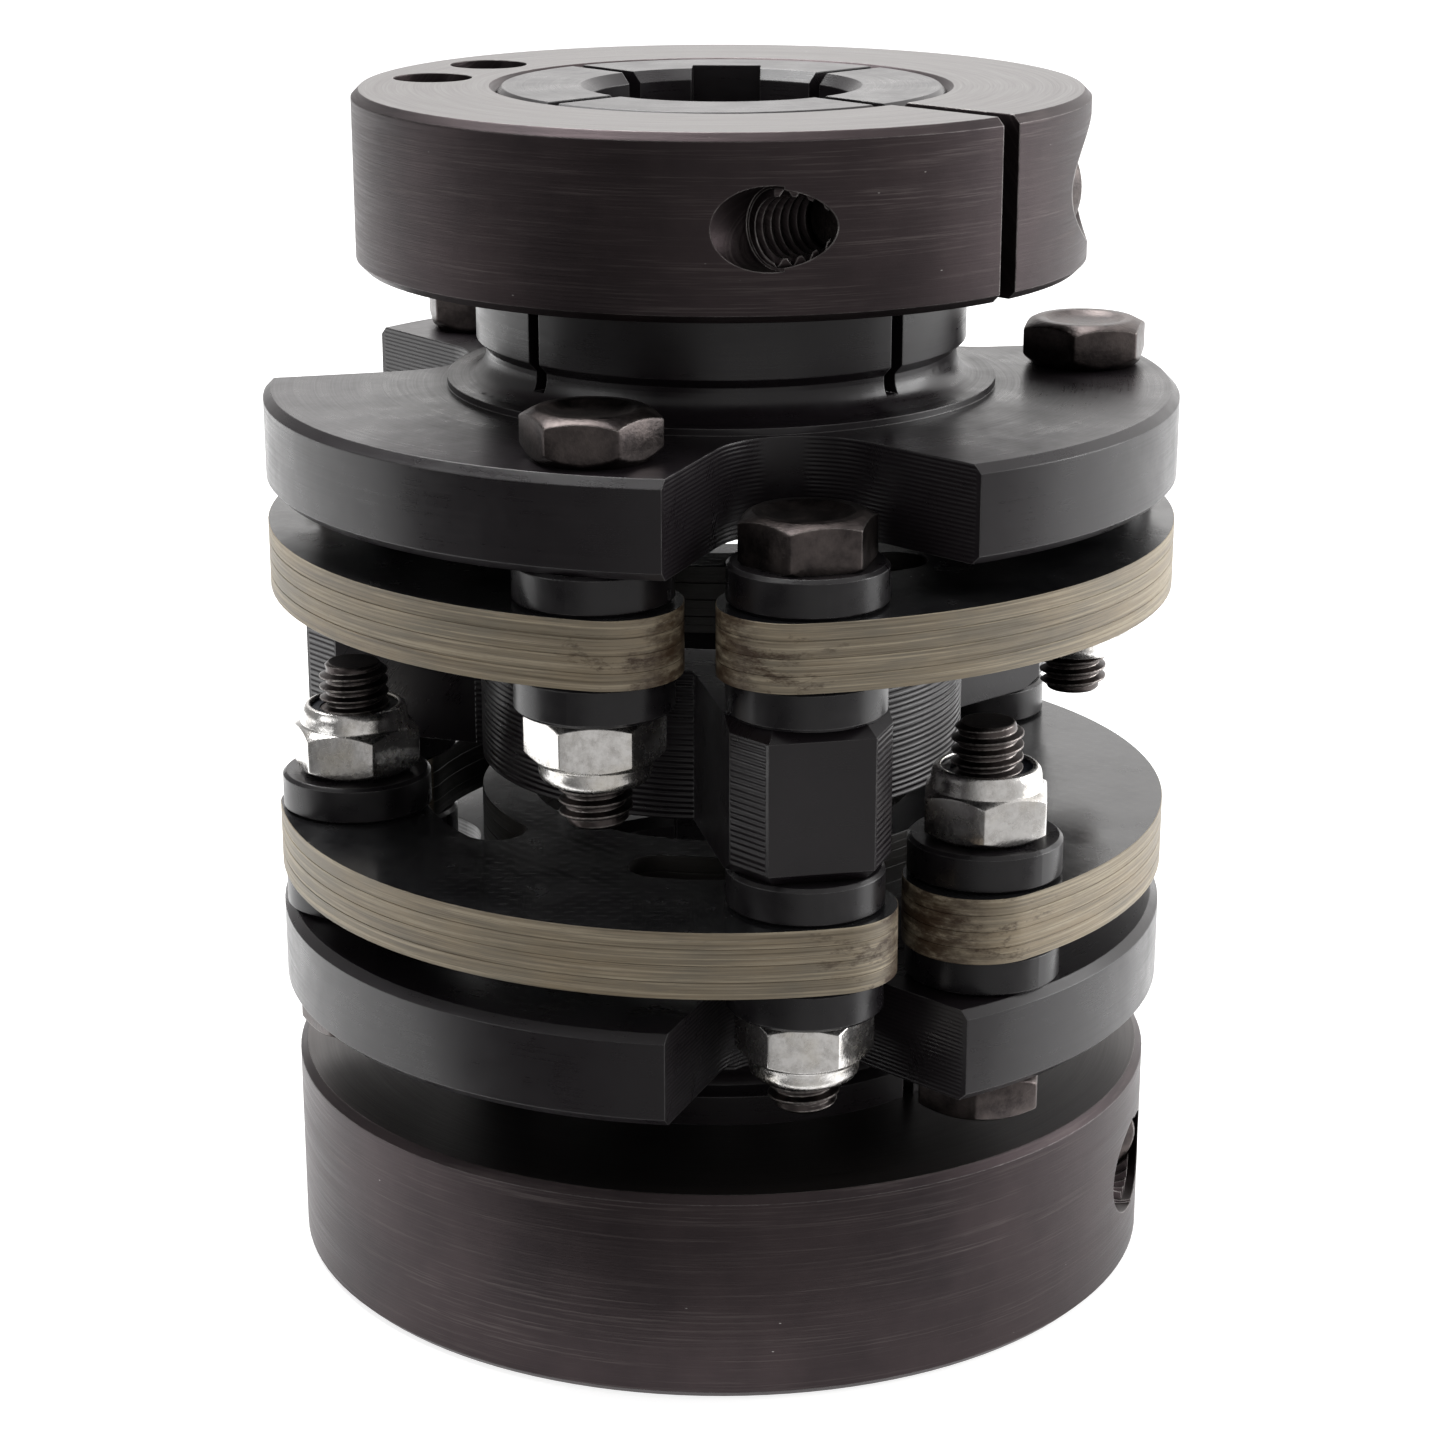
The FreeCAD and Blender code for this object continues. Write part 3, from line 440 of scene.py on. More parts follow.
@dataclass(frozen=True)
class SpacerOxide:
    """Blue-black oxide on turned spacers and washers, with highlights painted on their corners."""

    dark: Colour = (0.006, 0.005, 0.0065)
    pale: Colour = (0.013, 0.0115, 0.013)
    # colour of the highlight painted on the corners
    bare_and_highlight: Colour = (0.40, 0.39, 0.39)
    corner: float = 0.14

    def build(self) -> Material:
        """Make the material.

        Returns:
            The material.
        """
        g = Graph("spacer_oxide")
        lines = g.noise(g.stretched(0.35, 6.0), detail=3.0)
        cloud = g.noise(g.place, scale=0.5, detail=4.0)
        colour = g.mix(g.remap(cloud, 0.3, 0.7), self.dark, self.pale)
        normal = g.rounded(self.corner)
        # painted highlight: the corners are painted bare in patches like wear
        corner_highlight = g.painted_corner_highlight(normal, 1.4, 0.35, 0.6, 0.1, 0.7)
        colour = g.mix(corner_highlight, colour, self.bare_and_highlight)
        rough = g.remap(cloud, 0.3, 0.7, 0.24, 0.36)
        return g.close(colour, rough, g.bump(lines, 0.003, normal), 0.0, IOR=1.5)


@dataclass(frozen=True)
class BrightZinc:
    """Bright zinc plate with a mottled, slightly yellowed surface."""

    clear: Colour = (0.92, 0.905, 0.885)
    dull: Colour = (0.66, 0.64, 0.615)
    yellow: Colour = (0.80, 0.74, 0.62)

    def build(self) -> Material:
        """Make the material.

        Returns:
            The material.
        """
        g = Graph("bright_zinc")
        crystal = g.cells(g.place, 2.6)
        mottle = g.noise(g.place, scale=1.1, detail=5.0, rough=0.7)
        colour = g.mix(g.remap(mottle, 0.42, 0.68), self.clear, self.dull)
        aged = g.remap(g.noise(g.place, 0.3), 0.5, 0.75, 0.0, 0.6)
        colour = g.mix(aged, colour, self.yellow)
        rough = g.remap(mottle, 0.3, 0.7, 0.14, 0.34)
        height = g.math("ADD", g.math("MULTIPLY", crystal, 0.35), mottle)
        return g.close(colour, rough, g.bump(height, 0.022, g.rounded(0.18)), 1.0)


@dataclass(frozen=True)
class LockingNylon:
    """Dark nylon, slightly sheared by the thread."""

    dark: Colour = (0.012, 0.014, 0.022)
    pale: Colour = (0.035, 0.040, 0.055)

    def build(self) -> Material:
        """Make the material.

        Returns:
            The material.
        """
        g = Graph("locking_nylon")
        mottle = g.noise(g.place, scale=1.6, detail=4.0)
        colour = g.mix(mottle, self.dark, self.pale)
        rough = g.remap(mottle, 0.3, 0.7, 0.38, 0.55)
        return g.close(colour, rough, g.bump(mottle, 0.05), 0.0)


@dataclass(frozen=True)
class DiscFace:
    """Glossy black resin face of a laminated disc, with a faint weave and smears."""

    name: str
    dark: Colour = (0.0065, 0.0065, 0.0075)
    pale: Colour = (0.020, 0.020, 0.021)

    def build(self) -> Material:
        """Make the material.

        Returns:
            The material.
        """
        g = Graph(self.name)
        weave = g.out("ShaderNodeTexChecker", "Fac", {"Vector": g.place, "Scale": 1.1})
        smear = g.noise(g.place, scale=0.16, detail=5.0, rough=0.7)
        dust = g.remap(g.cells(g.place, 0.8), 0.07, 0.03)
        colour = g.mix(g.remap(smear, 0.35, 0.7), self.dark, self.pale)
        colour = g.mix(g.math("MULTIPLY", dust, 0.25), colour, (0.2, 0.2, 0.19))
        rough = g.remap(smear, 0.3, 0.7, 0.14, 0.30)
        height = g.math("ADD", g.math("MULTIPLY", weave, 0.15), smear)
        return g.close(colour, rough, g.bump(height, 0.012), 0.0, IOR=1.55)


@dataclass(frozen=True)
class DiscEdge:
    """Cut edge of the laminate: tan glass fibre drawn out along it, stained beside the bolts,
    painted black as shade near the axis.
    """

    name: str
    gap_azimuth: float
    tan: Colour = (0.285, 0.228, 0.150)
    grey: Colour = (0.210, 0.182, 0.135)
    bleached: Colour = (0.40, 0.34, 0.245)
    shade: Colour = (0.115, 0.090, 0.058)
    stain: Colour = (0.050, 0.027, 0.013)
    # black of the seams between plies, also the painted shade on the walls near the axis
    black: Colour = (0.014, 0.012, 0.010)
    ply: float = 1.425
    bottom: float = 0.0
    # radius inside which the cut edge is painted black as shade
    inner: float = 27.3

    def build(self) -> Material:
        """Make the material.

        Returns:
            The material.
        """
        g = Graph(self.name)
        fibre = g.noise(g.stretched(0.05, 3.6), detail=5.0, rough=0.65)
        strand = g.noise(g.stretched(0.5, 4.0), detail=4.0, rough=0.75)
        patch = g.noise(g.stretched(0.10, 0.30), detail=4.0, rough=0.6)
        colour = g.mix(g.remap(patch, 0.35, 0.65), self.tan, self.grey)
        colour = g.mix(g.remap(fibre, 0.50, 0.62), colour, self.bleached)
        colour = g.mix(g.remap(fibre, 0.46, 0.36, 0.0, 0.75), colour, self.shade)
        colour = g.mix(g.remap(strand, 0.52, 0.70, 0.0, 0.55), colour, self.grey)
        angle = g.math("ARCTAN2", g.y, g.x)
        turn = g.math("SUBTRACT", angle, math.radians(self.gap_azimuth))
        near_gap = g.math("COSINE", g.math("MULTIPLY", turn, 3.0))
        beside = g.remap(near_gap, 0.35, 0.95)
        blot = g.noise(g.stretched(0.22, 0.60), detail=5.0, rough=0.75)
        mark = g.remap(g.math("ADD", blot, g.math("MULTIPLY", beside, 0.10)), 0.62, 0.72)
        colour = g.mix(g.both(beside, mark), colour, self.stain)
        smoke = g.remap(near_gap, 0.90, 0.985, 0.0, 0.8)
        colour = g.mix(g.both(smoke, g.remap(blot, 0.40, 0.52)), colour, self.stain)
        rise = g.math("SUBTRACT", g.z, self.bottom)
        layer = g.math("FRACT", g.math("DIVIDE", rise, self.ply / 2.0))
        seam = g.math("ABSOLUTE", g.math("SUBTRACT", layer, 0.5))
        seam = g.both(g.remap(seam, 0.47, 0.5), g.remap(fibre, 0.40, 0.62, 0.0, 0.75))
        colour = g.mix(seam, colour, self.black)
        # painted shade: the cut edge nearer the axis than the inner radius, inside the pack, is
        # painted black
        colour = g.mix(g.remap(g.radius, self.inner, self.inner - 0.2), colour, self.black)
        rough = g.remap(fibre, 0.3, 0.7, 0.42, 0.62)
        height = g.math("SUBTRACT", g.math("ADD", fibre, g.math("MULTIPLY", strand, 0.5)), seam)
        return g.close(colour, rough, g.bump(height, 0.03), 0.0)


# ---- shaping ----


def drop(bm: Shape, name: str, finishes: Sequence[Material], sharp: float = 28.0) -> Object:
    """Turn a finished bmesh in millimetres into an object in metres, at the origin.

    Args:
        bm: the shape, which is freed.
        name: the object's name.
        finishes: materials, in the order of the faces' material indices.
        sharp: corners wider than this many degrees are shaded sharp.

    Returns:
        The object.
    """
    bmesh.ops.scale(bm, vec=(MM, MM, MM), verts=bm.verts)
    bm.normal_update()
    for face in bm.faces:
        face.smooth = abs(face.normal.z) < LEVEL
    mesh = bpy.data.meshes.new(name)
    bm.to_mesh(mesh)
    bm.free()
    carried = mesh.attributes.get("custom_normal")
    if carried:
        mesh.attributes.remove(carried)
    mesh.set_sharp_from_angle(angle=math.radians(sharp))
    for finish in finishes:
        mesh.materials.append(finish)
    made = bpy.data.objects.new(name, mesh)
    bpy.context.scene.collection.objects.link(made)
    return made


def everything(bm: Shape) -> list:
    """All vertices, edges and faces of a shape."""
    return bm.verts[:] + bm.edges[:] + bm.faces[:]


def slice_at(bm: Shape, point: Sequence[float], way: Sequence[float], clear: bool = False) -> None:
    """Cut across a shape with a plane.

    Args:
        bm: the shape.
        point: a point of the plane.
        way: the plane's normal.
        clear: whether what lies on the normal's side goes, which leaves the cut open.
    """
    bmesh.ops.bisect_plane(
        bm, geom=everything(bm), dist=TIGHT, plane_co=point, plane_no=way, clear_outer=clear
    )


def rims_of(bm: Shape) -> list[bmesh.types.BMEdge]:
    """Edges of the open loops of a shape."""
    return [edge for edge in bm.edges if edge.is_boundary]


def close_holes(bm: Shape) -> None:
    """Fill every open loop and point all faces outwards.

    Args:
        bm: the shape.
    """
    rims = rims_of(bm)
    if rims:
        bmesh.ops.holes_fill(bm, edges=rims, sides=0)
    bmesh.ops.recalc_face_normals(bm, faces=bm.faces)


def bridge_at(bm: Shape, height: float) -> None:
    """Join the two open loops that lie at a height."""
    rims = [e for e in rims_of(bm) if all(abs(v.co.z - height) < NEAR for v in e.verts)]
    bmesh.ops.bridge_loops(bm, edges=rims)


def cylinder(
    bm: Shape, radius: float, low: float, high: float, sides: int, capped: bool = True
) -> None:
    """Add a cylinder about Z.

    Args:
        bm: shape to add to.
        radius: its radius.
        low: lower height.
        high: upper height.
        sides: faces round it.
        capped: whether its ends are closed.
    """
    made = bmesh.ops.create_cone(
        bm, cap_ends=capped, segments=sides, radius1=radius, radius2=radius, depth=high - low
    )
    bmesh.ops.translate(bm, vec=(0, 0, (low + high) / 2.0), verts=made["verts"])


def soften(bm: Shape, width: float, least: float = 24.0, steps: int = 2) -> None:
    """Round the corners of a shape.

    Args:
        bm: the shape.
        width: width of the rounding.
        least: corners flatter than this many degrees stay.
        steps: faces across the rounding.
    """
    limit = math.radians(least)
    corners = [e for e in bm.edges if e.is_manifold and e.calc_face_angle(0.0) > limit]
    bmesh.ops.bevel(
        bm, geom=corners, offset=width, offset_type="OFFSET", segments=steps, profile=0.5,
        affect="EDGES", material=-1, clamp_overlap=True,
    )


def lathe(bm: Shape, profile: Profile, ring: bool = True, steps: int = 56) -> None:
    """Turn a profile about Z.

    Args:
        bm: shape to add to.
        profile: corners as radius and height.
        ring: whether the profile closes on itself, clear of the axis.
        steps: faces round the axis.
    """
    points = [bm.verts.new((radius, 0.0, height)) for radius, height in profile]
    following = points[1:] + points[:1] if ring else points[1:]
    lines = [bm.edges.new(pair) for pair in zip(points, following)]
    bmesh.ops.spin(
        bm, geom=points + lines, cent=(0, 0, 0), axis=UP, dvec=(0, 0, 0), angle=math.tau,
        steps=steps, use_merge=True, use_duplicate=False,
    )
    bmesh.ops.remove_doubles(bm, verts=bm.verts, dist=TIGHT)
    bmesh.ops.recalc_face_normals(bm, faces=bm.faces)


def template(bm: Shape, name: str) -> bpy.types.Mesh:
    """Keep a shape, in millimetres, to be copied from.

    Args:
        bm: the shape, which is freed.
        name: the mesh's name.

    Returns:
        The mesh.
    """
    mesh = bpy.data.meshes.new(name)
    bm.to_mesh(mesh)
    bm.free()
    return mesh


def copy_of(mesh: bpy.types.Mesh, place: Matrix) -> Shape:
    """Copy a kept shape to a place.

    Args:
        mesh: the kept shape.
        place: where it goes.

    Returns:
        The copy.
    """
    bm = bmesh.new()
    bm.from_mesh(mesh)
    bmesh.ops.transform(bm, matrix=place, verts=bm.verts)
    return bm


@dataclass(frozen=True)
class Thread:
    """Metric thread."""

    diameter: float
    pitch: float
    steps: int = 40
    depth: float = 0.6134
    flanks: tuple[float, ...] = (0.0, 0.125, 0.4375, 0.6875)

    @property
    def crest(self) -> float:
        """Largest radius."""
        return self.diameter / 2.0

    @property
    def root(self) -> float:
        """Smallest radius."""
        return self.crest - self.depth * self.pitch

    def wind(self, low: float, high: float) -> Shape:
        """Helical surface between two heights, open at both ends.

        Args:
            low: lower height.
            high: upper height.

        Returns:
            The surface.
        """
        bm = bmesh.new()
        start = low - self.pitch
        turns = math.ceil((high - low) / self.pitch) + 2
        outline = list(zip((self.crest, self.crest, self.root, self.root), self.flanks))
        profile = [(r, start + (k + at) * self.pitch) for k in range(turns) for r, at in outline]
        profile.append((self.crest, start + turns * self.pitch))
        points = [bm.verts.new((r, 0.0, z)) for r, z in profile]
        lines = [bm.edges.new(pair) for pair in zip(points, points[1:])]
        bmesh.ops.spin(
            bm, geom=points + lines, cent=(0, 0, 0), axis=UP, dvec=(0, 0, self.pitch / self.steps),
            angle=math.tau, steps=self.steps, use_merge=False, use_duplicate=False,
        )
        bmesh.ops.remove_doubles(bm, verts=bm.verts, dist=WELD)
        slice_at(bm, (0, 0, high), UP, clear=True)
        slice_at(bm, (0, 0, low), -UP, clear=True)
        return bm

    def rod(self, low: float, high: float, point: float) -> Shape:
        """Threaded rod with a pointed lower end.

        Args:
            low: lower height.
            high: upper height.
            point: length of the lower end's taper.

        Returns:
            The closed rod.
        """
        bm = self.wind(low, high)
        for vert in bm.verts:
            allowed = self.crest - max(0.0, low + point - vert.co.z)
            radius = vert.co.xy.length
            if radius > allowed:
                vert.co.xy *= allowed / radius
        close_holes(bm)
        return bm

    def socket(self, low: float, high: float, wall: float) -> Shape:
        """Tapped lining of a hole.

        Args:
            low: lower height.
            high: upper height.
            wall: radius of the hole that it lines.

        Returns:
            The closed lining.
        """
        bm = self.wind(low, high)
        cylinder(bm, wall, low, high, self.steps, capped=False)
        bridge_at(bm, low)
        bridge_at(bm, high)
        bmesh.ops.recalc_face_normals(bm, faces=bm.faces)
        return bm


def join_shapes(target: Shape, *others: Shape) -> None:
    """Add closed shapes to another.

    Args:
        target: the shape to add to.
        others: the shapes to add, which are freed.
    """
    for other in others:
        mesh = template(other, "joined")
        target.from_mesh(mesh)
        bpy.data.meshes.remove(mesh)


def kept_inside(bm: Shape, radius: float, height: float) -> Shape:
    """Part of a closed shape that lies inside a cylinder about Z.

    Args:
        bm: the shape, which is freed.
        radius: the cylinder's radius.
        height: the cylinder's height above 0.

    Returns:
        The part inside.
    """
    drum = bmesh.new()
    cylinder(drum, radius, 0.0, height, sides=256)
    meshes = [template(bm, "trimmed"), template(drum, "trimmer")]
    shape, tool = (bpy.data.objects.new(mesh.name, mesh) for mesh in meshes)
    for made in (shape, tool):
        bpy.context.scene.collection.objects.link(made)
    trim = shape.modifiers.new("trim", "BOOLEAN")
    trim.operation, trim.solver, trim.object = "INTERSECT", "EXACT", tool
    graph = bpy.context.evaluated_depsgraph_get()
    result = bpy.data.meshes.new_from_object(shape.evaluated_get(graph))
    inside = bmesh.new()
    inside.from_mesh(result)
    for made in (shape, tool):
        bpy.data.objects.remove(made)
    for mesh in (*meshes, result):
        bpy.data.meshes.remove(mesh)
    return inside


def hexagon_bar(across_flats: float, high: float) -> Shape:
    """Hexagonal bar that stands on 0, with a corner towards +X.

    Args:
        across_flats: its width.
        high: its height.

    Returns:
        The closed bar.
    """
    bm = bmesh.new()
    cylinder(bm, across_flats / math.sqrt(3.0), 0.0, high, sides=6)
    turn = Matrix.Rotation(math.pi / 6.0, 3, "Z")
    bmesh.ops.rotate(bm, cent=(0, 0, 0), matrix=turn, verts=bm.verts)
    return bm


def ease_end(
    bm: Shape, height: float, flat: float, slope: float, facing: int, cuts: int = 36
) -> None:
    """Turn the corners off one end of a bar, as plane cuts round a cone.

    Args:
        bm: the bar.
        height: height of the end.
        flat: radius of the flat left in the middle.
        slope: slope of the cone in degrees.
        facing: 1 for an upper end, -1 for a lower one.
        cuts: cuts round the cone.
    """
    tilt = math.radians(slope)
    for k in range(cuts):
        way = Matrix.Rotation(math.tau * k / cuts, 3, "Z") @ Vector((1, 0, 0))
        outward = way * math.sin(tilt) + UP * (math.cos(tilt) * facing)
        slice_at(bm, way * flat + UP * height, outward, clear=True)
        bmesh.ops.holes_fill(bm, edges=rims_of(bm), sides=0)
    bmesh.ops.remove_doubles(bm, verts=bm.verts, dist=CRUMB)


def end_face(bm: Shape, height: float) -> bmesh.types.BMFace:
    """Largest face at a height."""
    level = [f for f in bm.faces if all(abs(v.co.z - height) < CRUMB for v in f.verts)]
    return max(level, key=lambda f: f.calc_area())


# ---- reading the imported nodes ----


def vertices_of(node: str) -> list[Vector]:
    """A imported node's vertices in millimetres."""
    return [v.co / MM for v in bpy.data.objects[node].data.vertices]


@dataclass(frozen=True)
class Post:
    """Where an upright fastener stands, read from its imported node."""

    x: float
    y: float
    low: float
    high: float
    turn: float

    @classmethod
    def read(cls, node: str, points: Sequence[Vector]) -> "Post":
        """Measure a node.

        Args:
            node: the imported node's name.
            points: its vertices in millimetres.

        Returns:
            Its place; the turn is the azimuth of one of its hexagon's corners, in degrees.
        """
        low, high = (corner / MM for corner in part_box(node))
        widths = [Vector((p.x, p.y)) for p in points]
        middle = Vector(((low.x + high.x) / 2.0, (low.y + high.y) / 2.0))
        far = max(widths, key=lambda p: (p - middle).length)
        for _ in range(3):
            opposite = max(widths, key=lambda p: (p - far).length)
            middle = (far + opposite) / 2.0
        offset = far - middle
        return cls(middle.x, middle.y, low.z, high.z, math.degrees(math.atan2(offset.y, offset.x)))


# ---- sub-assemblies ----


def put(
    blank: bpy.types.Mesh, place: Matrix, node: str, made: str, body: str,
    finish: Material,
) -> None:
    """Stand a fastener in for a packed one.

    Args:
        blank: its shape, which is removed.
        place: where it stands, in millimetres.
        node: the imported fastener.
        made: how it is made, which ends its name.
        body: the body that it rides on.
        finish: its material.
    """
    piece = drop(copy_of(blank, place), f"{node}_{made}", [finish])
    bpy.data.meshes.remove(blank)
    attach(piece, body)
    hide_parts(node)
    LOG.info("%s: at %.1f, %.1f mm", piece.name, place.translation.x, place.translation.y)


@dataclass
class HexBolts:
    """Forged hexagon head bolts with rolled threads."""

    thread: Thread = field(default_factory=lambda: Thread(6.0, 1.0))
    across_flats: float = 10.0
    head: float = 4.0
    crown: float = 4.45
    foot: float = 4.86
    crown_slope: float = 27.0
    foot_slope: float = 40.0
    dish: Profile = ((0.75, 0.0), (0.55, -0.32), (0.9, -0.16), (1.0, -0.064))
    threaded: float = 13.0
    point: float = 0.8
    rounding: float = 0.16

    def forged_head(self) -> Shape:
        """Make the head, with its corners turned off and its top dished.

        Returns:
            The closed head, standing on 0.
        """
        bm = hexagon_bar(self.across_flats, self.head)
        ease_end(bm, self.head, self.crown, self.crown_slope, 1)
        ease_end(bm, 0.0, self.foot, self.foot_slope, -1)
        top = end_face(bm, self.head)
        for width, depth in self.dish:
            bmesh.ops.inset_region(
                bm, faces=[top], thickness=width, depth=depth, use_even_offset=True
            )
        bmesh.ops.recalc_face_normals(bm, faces=bm.faces)
        soften(bm, self.rounding)
        return bm

    def blank(self, length: float) -> bpy.types.Mesh:
        """One whole bolt with its head above 0.

        Args:
            length: from under the head to the tip.

        Returns:
            The shape to copy.
        """
        bm = self.forged_head()
        shoulder = length - self.threaded
        cylinder(bm, self.thread.crest, -shoulder, 0.0, sides=48)
        join_shapes(bm, self.thread.rod(-length, -shoulder, self.point))
        return template(bm, "bolt_blank")

    def build(self, node: str, body: str, finish: Material, upside_down: bool) -> None:
        """Make the bolt that stands for a packed one.

        Args:
            node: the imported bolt.
            body: the body that it rides on.
            finish: its material.
            upside_down: whether its head is at the bottom.
        """
        post = Post.read(node, vertices_of(node))
        blank = self.blank(post.high - post.low - self.head)
        seat = post.low + self.head if upside_down else post.high - self.head
        place = stand(post, seat, upside_down)
        put(blank, place, node, "forged", body, finish)


def stand(post: Post, seat: float, upside_down: bool) -> Matrix:
    """Matrix that stands a fastener made upright at 0 in its place.

    Args:
        post: where it stands.
        seat: height of its seat.
        upside_down: whether it is turned over.

    Returns:
        The matrix, in millimetres.
    """
    turn = -post.turn if upside_down else post.turn
    flip = Matrix.Rotation(math.pi if upside_down else 0.0, 4, "X")
    spin = Matrix.Rotation(math.radians(turn), 4, "Z")
    return Matrix.Translation((post.x, post.y, seat)) @ flip @ spin


@dataclass
class LockNuts:
    """Prevailing torque nuts with a rolled collar over a nylon ring."""

    across_flats: float = 10.0
    hexagon: float = 4.5
    height: float = 6.0
    bore: float = 3.04
    flat: float = 4.35
    ring_seat: float = 4.02
    lip: float = 3.8
    collar: float = 4.62
    root: float = 0.35
    slope: float = 30.0
    rounding: float = 0.14

    def rolled(self) -> Profile:
        """Outline of the collar, which is rolled over the nylon ring.

        Returns:
            Corners as radius and height.
        """
        low, wide, top = self.hexagon - self.root, self.collar, self.height
        return [
            (self.ring_seat, low), (wide + 0.12, low), (wide + 0.10, self.hexagon),
            (wide, self.hexagon + 0.18), (wide - 0.02, top - 0.75), (wide - 0.14, top - 0.34),
            (wide - 0.36, top - 0.08), (wide - 0.58, top), (self.lip + 0.05, top - 0.04),
            (self.lip, top - 0.16), (self.lip + 0.03, top - 0.32), (self.ring_seat, top - 0.40),
        ]

    def blank(self) -> bpy.types.Mesh:
        """Make one nut, standing on 0 with its collar up.

        Returns:
            The shape to copy.
        """
        bm = hexagon_bar(self.across_flats, self.hexagon)
        ease_end(bm, self.hexagon, self.flat, self.slope, 1)
        ease_end(bm, 0.0, self.flat, self.slope, -1)
        ends = [end_face(bm, self.hexagon), end_face(bm, 0.0)]
        bmesh.ops.delete(bm, geom=ends, context="FACES_ONLY")
        cylinder(bm, self.bore, 0.0, self.hexagon, sides=36, capped=False)
        bridge_at(bm, 0.0)
        bridge_at(bm, self.hexagon)
        bmesh.ops.recalc_face_normals(bm, faces=bm.faces)
        soften(bm, self.rounding)
        collar = bmesh.new()
        lathe(collar, self.rolled())
        join_shapes(bm, collar)
        return template(bm, "nut_blank")

    def build(self, node: str, body: str, finish: Material, collar_down: bool) -> None:
        """Make the nut that stands for a packed one.

        Args:
            node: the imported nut.
            body: the body that it rides on.
            finish: its material.
            collar_down: whether its collar is at the bottom.
        """
        post = Post.read(node, vertices_of(node))
        place = stand(post, post.high if collar_down else post.low, collar_down)
        put(self.blank(), place, node, "plated", body, finish)


@dataclass
class ClampScrew:
    """Socket head screw across a clamp ring's split, and the tapped hole that it turns in."""

    side: Side
    thread: Thread
    head_width: float
    head: float
    socket: float
    threaded: float
    lining_end: float
    ring_radius: float
    ring_height: float = 120.0
    mouth: float = 0.8
    clearance: float = 0.02
    gap: float = 0.2
    point: float = 0.8
    edge: float = 0.7
    foot: float = 0.3
    flutes: int = 36
    flute: float = 0.16
    socket_depth: float = 0.52

    def cap(self) -> Shape:
        """Make the fluted head with its hexagonal socket.

        Returns:
            The closed head, standing on 0.
        """
        bm = bmesh.new()
        radius, edge = self.head_width / 2.0, self.edge
        outline = [
            (radius * 0.55, 0.0), (radius - 0.15, 0.0), (radius, 0.15), (radius, 0.45),
            (radius, self.head - edge - 0.1), (radius - 0.22, self.head - 0.22),
            (radius - edge, self.head),
        ]
        lathe(bm, outline, ring=False, steps=self.flutes * 2)
        for vert in bm.verts:
            step = round(math.atan2(vert.co.y, vert.co.x) / math.tau * self.flutes * 2)
            if step % 2 and self.foot < vert.co.z < self.head - edge:
                vert.co.xy *= (radius - self.flute) / radius
        corner = self.socket / math.sqrt(3.0)
        mouth = bmesh.ops.create_circle(bm, cap_ends=False, segments=6, radius=corner)["verts"]
        bmesh.ops.translate(bm, vec=(0, 0, self.head), verts=mouth)
        hexagon = [e for e in bm.edges if all(v in mouth for v in e.verts)]
        sunk = bmesh.ops.extrude_edge_only(bm, edges=hexagon)["geom"]
        floor = [v for v in sunk if isinstance(v, bmesh.types.BMVert)]
        bmesh.ops.translate(bm, vec=(0, 0, -self.head * self.socket_depth), verts=floor)
        bridge_at(bm, self.head)
        close_holes(bm)
        return bm

    def frame(self, joint: dict) -> Matrix:
        """Place of the screw's own frame, whose axis is up, in millimetres."""
        turn = UP.rotation_difference(Vector(joint["axis"])).to_matrix().to_4x4()
        return Matrix.Translation(Vector(joint["pos_m"]) / MM) @ turn

    def build(self, joint: dict, screw_finish: Material, ring_finish: Material) -> None:
        """Make the screw and the tapped lining beyond its end.

        Args:
            joint: the joint that the screw turns on.
            screw_finish: material of the screw.
            ring_finish: material of the lining.
        """
        side = self.side.value
        node = f"{side}_clamp_screw"
        place = self.frame(joint)
        level = [(place.inverted() @ point).z for point in vertices_of(node)]
        top, bottom = max(level), min(level)
        seat = top - self.head
        bm = self.cap()
        bmesh.ops.translate(bm, vec=(0, 0, seat), verts=bm.verts)
        shoulder = bottom + self.threaded
        radius = self.thread.crest
        cylinder(bm, radius, shoulder, seat, sides=48)
        join_shapes(bm, self.thread.rod(bottom, shoulder, self.point))
        blank = template(bm, "screw_blank")
        put(blank, place, node, "fluted", f"{side}_screw_set", screw_finish)
        lining = self.thread.socket(-self.lining_end, bottom - self.gap, radius + self.clearance)
        bmesh.ops.transform(lining, matrix=place, verts=lining.verts)
        lining = kept_inside(lining, self.ring_radius - self.mouth, self.ring_height)
        tapped = drop(lining, f"{side}_tapped_lining", [ring_finish])
        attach(tapped, f"{side}_ring_set")
        LOG.info("%s: lines the hole beyond the screw", tapped.name)


